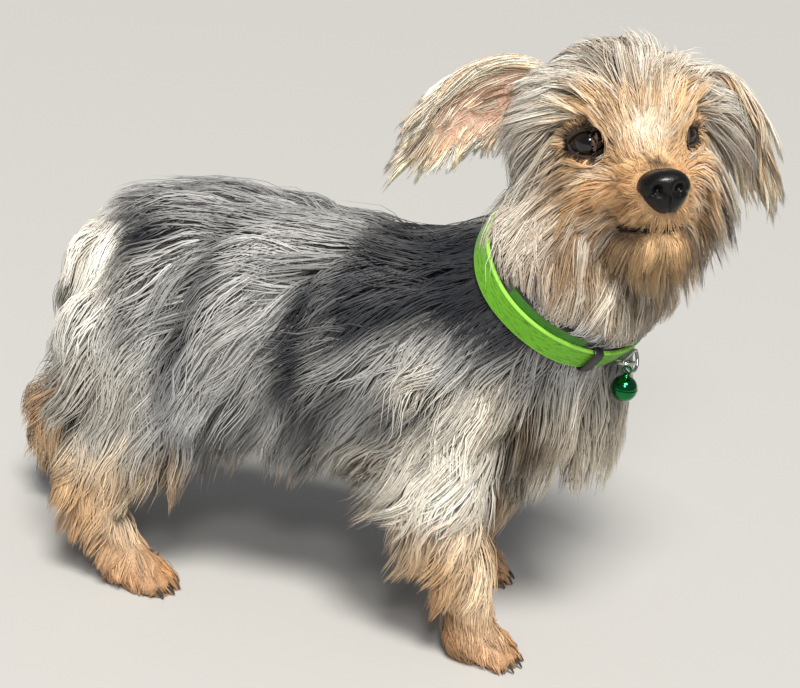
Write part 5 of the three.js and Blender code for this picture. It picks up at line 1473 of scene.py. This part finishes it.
WISPS, RIGHT_WISPS, WISP_RINGS, WISP_WIDTH, WISP_TILE = 18, 12, 8, 0.24, 13
WISP_PATH = np.array(((13, 6, 3), (11, 9, 0), (7.5, 13, -4), (3.5, 18.5, -8), (-1, 23.5, -13),
                      (-5, 27.5, -20)), float)
sides = np.where(np.arange(WISPS) < RIGHT_WISPS, -1, 1)
stray = DRAW.normal(size=(WISPS, 3))[:, None] * np.linspace(1.1, 3.2, len(WISP_PATH))[None, :, None]
path = WISP_PATH * np.stack((0 * sides + 1, sides, 0 * sides + 1), 1)[:, None] + stray * (0.5, 0.5, 1)
line = smooth_line(path.transpose(1, 0, 2).reshape(len(WISP_PATH), -1), WISP_RINGS)
line = in_head(line.reshape(WISP_RINGS, WISPS, 3).transpose(1, 0, 2))
slopes = np.stack([eye_way(side) for side in sides])[:, None] + 0 * line
colours = np.where((np.arange(WISPS) % 3 == 0)[:, None, None], 0.5 * TAN, PEARL) + 0 * line
tufts("coat_wisps", line, slopes, np.full(WISPS, WISP_WIDTH), colours, unwrapped(line[:, 0], WISP_TILE),
      "face_coat", 1.0)

# The ears' hair: long cream hair that follows both faces of each leaf from its base and runs out
# past the rim and the tip in a soft fringe, brown at the foot of the open ear's lower edge.

EAR_HANG, EAR_FIRST_TILE = 0.1, 10


def ear_lines(ear, t, lean, face, length, rings):
    """Middle lines over an ear: each keeps its root's place across the leaf, moves on along it by its
    length, spreads a little, lifts off the leaf and sinks by the square of the share."""
    share = np.linspace(0, 1, rings)[None]
    whole = np.linalg.norm(np.diff(ear_line(ear), axis=0), axis=1).sum()
    ran = t[:, None] + share * length[:, None] / whole
    mid, along, wide, out, _ = ear_frame(ear, np.clip(ran, 0, 1).ravel())
    aside = lean[:, None] * (1 + 0.22 * share * np.abs(lean[:, None]))
    over = 0.5 * EAR_THICK * np.sqrt(np.clip(1 - aside ** 2, 0, 1)) - 0.3
    over = over + (0.5 + 2.2 * np.abs(lean[:, None])) * share ** 0.7
    dip = ear["cup"] * np.clip(1 - aside ** 2, -0.3, 1) + face * over
    line = mid + along * (np.clip(ran - 1, 0, None) * whole).reshape(-1, 1)
    line = line + wide * (aside * ear_frame(ear, t)[4][:, None]).reshape(-1, 1) + out * dip.reshape(-1, 1)
    line = line - UP * (EAR_HANG * length[:, None] * share ** 2).reshape(-1, 1)
    slopes = unit(face * out + 0.6 * wide * aside.reshape(-1, 1))
    return line.reshape(*ran.shape, 3), slopes.reshape(*ran.shape, 3)


EAR_HAIR = [  # ear, whether inside the leaf, tufts, rings, share at the rim, length, width, share of tan
    ("right", False, 2200, 7, 0.45, 22, 0.44, 0.04), ("right", True, 950, 6, 0.35, 14, 0.36, 0.30),
    ("left", False, 1900, 7, 0.45, 22, 0.44, 0.04), ("left", True, 700, 6, 0.35, 14, 0.36, 0.30)]
RIM_LENGTH = 26
for tile, (name, inward, count, rings, rims, short, width, tan) in enumerate(EAR_HAIR, EAR_FIRST_TILE):
    ear = EARS[name]
    t = DRAW.uniform(-0.06, 1, count)
    rim = DRAW.random(count) < rims
    at_rim = np.sign(DRAW.uniform(-1, 2, count)) * DRAW.uniform(0.8, 1.0, count)
    lean = np.where(rim, at_rim, DRAW.uniform(-0.95, 0.95, count))
    if inward:
        t = np.where(rim, t, np.clip(t, 0, 1) ** 1.5)
    length = np.where(rim, RIM_LENGTH, short) * (1 + 0.12 * DRAW.normal(size=count)) * (1 - 0.1 * t)
    if name == "right":
        length = length * np.interp(lean, [-1, 0.1, 0.6], [0.5, 0.65, 1.0])
    line, slopes = ear_lines(ear, t, lean, ear["inner"] * (1 if inward else -1), length, rings)
    bundle = bundled(line[:, 0], 9, 3, 0.03)
    line = waved(line, slopes, length, 1.5 + 0 * t, bundle, 0.4)
    _, small, own, _ = bundle
    colours = mix(PEARL, CREAM, 0.6 * DRAW.random(count))
    colours = 1.12 * mix(colours, TAN, tan + 0.30 * own[small, 7])
    if inward:
        colours = mix(colours, 0.3 * TAN, fall_off(0.5 - t, 0, 0.25) * fall_off(0.45 - lean, 0, 0.3))
    colours = shaded(np.repeat(colours[:, None], rings, 1), 0 * t, bundle, 0.03, 0.12)
    tufts(f"coat_ear_{name}_{'inner' if inward else 'outer'}", line, slopes,
          width * np.clip(1 + 0.18 * own[:, 6], 0.4, 1.6), colours, unwrapped(line[:, 0], tile),
          "ear_coat", None)

# The stage: a pale floor, a broad sun lamp from above and a soft lamp before the head, and the
# camera, which stands where the photograph was taken from.

floor_mesh = bpy.data.meshes.new("floor")
floor_mesh.from_pydata([(-6, -4, 0), (6, -4, 0), (6, 10, 0), (-6, 10, 0)], [], [(0, 1, 2, 3)])
floor_mesh.materials.append(new_material("pale_floor", Base_Color=(0.46, 0.455, 0.44, 1), Roughness=0.75)[0])
floor = bpy.data.objects.new("floor", floor_mesh)
bpy.context.scene.collection.objects.link(floor)


def lamp(name, kind, at, aim, power, tint, **values):
    """A soft lamp at a place in metres, turned towards its aim."""
    light = bpy.data.lights.new(name, kind)
    light.energy, light.color = power, tint
    for field, value in values.items():
        setattr(light, field, value)
    lamp_object = bpy.data.objects.new(name, light)
    lamp_object.location = at
    lamp_object.rotation_euler = (Vector(aim) - Vector(at)).to_track_quat("-Z", "Y").to_euler()
    bpy.context.scene.collection.objects.link(lamp_object)


lamp("key", "SUN", (0.18, -0.46, 0.87), (0, 0, 0), 4.6, (1.0, 0.97, 0.92), angle=np.radians(20))
lamp("fill", "AREA", (0.24, -1.0, 0.90), (0.04, 0, 0.14), 5.0, (1.0, 0.98, 0.95), size=0.18)
world = bpy.data.worlds.new("studio")
world.use_nodes = True
sky = world.node_tree.nodes["Background"]
sky.inputs["Color"].default_value, sky.inputs["Strength"].default_value = (0.86, 0.88, 0.92, 1), 0.27
bpy.context.scene.world = world
bpy.context.scene.view_settings.view_transform = "Standard"

CAMERA_TURN, CAMERA_DIP, CAMERA_ROLL = np.radians((12, 20, 6.8))
CAMERA_AIM, CAMERA_AWAY = np.array((7.7, 51.2, 90.0)), 710.0
FOCUS = 1670 / 800  # the lens's length in widths of the picture, both in its pixels
look = np.array((-np.sin(CAMERA_TURN) * np.cos(CAMERA_DIP), np.cos(CAMERA_TURN) * np.cos(CAMERA_DIP),
                 -np.sin(CAMERA_DIP)))
level = np.array((np.cos(CAMERA_TURN), np.sin(CAMERA_TURN), 0))
upright = np.cross(level, look)
across = np.cos(CAMERA_ROLL) * level + np.sin(CAMERA_ROLL) * upright
upright = -np.sin(CAMERA_ROLL) * level + np.cos(CAMERA_ROLL) * upright
camera = bpy.data.objects.new("camera", bpy.data.cameras.new("camera"))
camera.data.sensor_width, camera.data.lens = 36, 36 * FOCUS
camera.data.clip_start, camera.data.clip_end = 0.05, 30
place = (CAMERA_AIM - CAMERA_AWAY * look + SHIFT) / 1000
rows = [[*map(float, row), float(spot)] for row, spot in zip(np.stack((across, upright, -look), 1), place)]
camera.matrix_world = Matrix(rows + [[0, 0, 0, 1]])
bpy.context.scene.collection.objects.link(camera)
bpy.context.scene.camera = camera
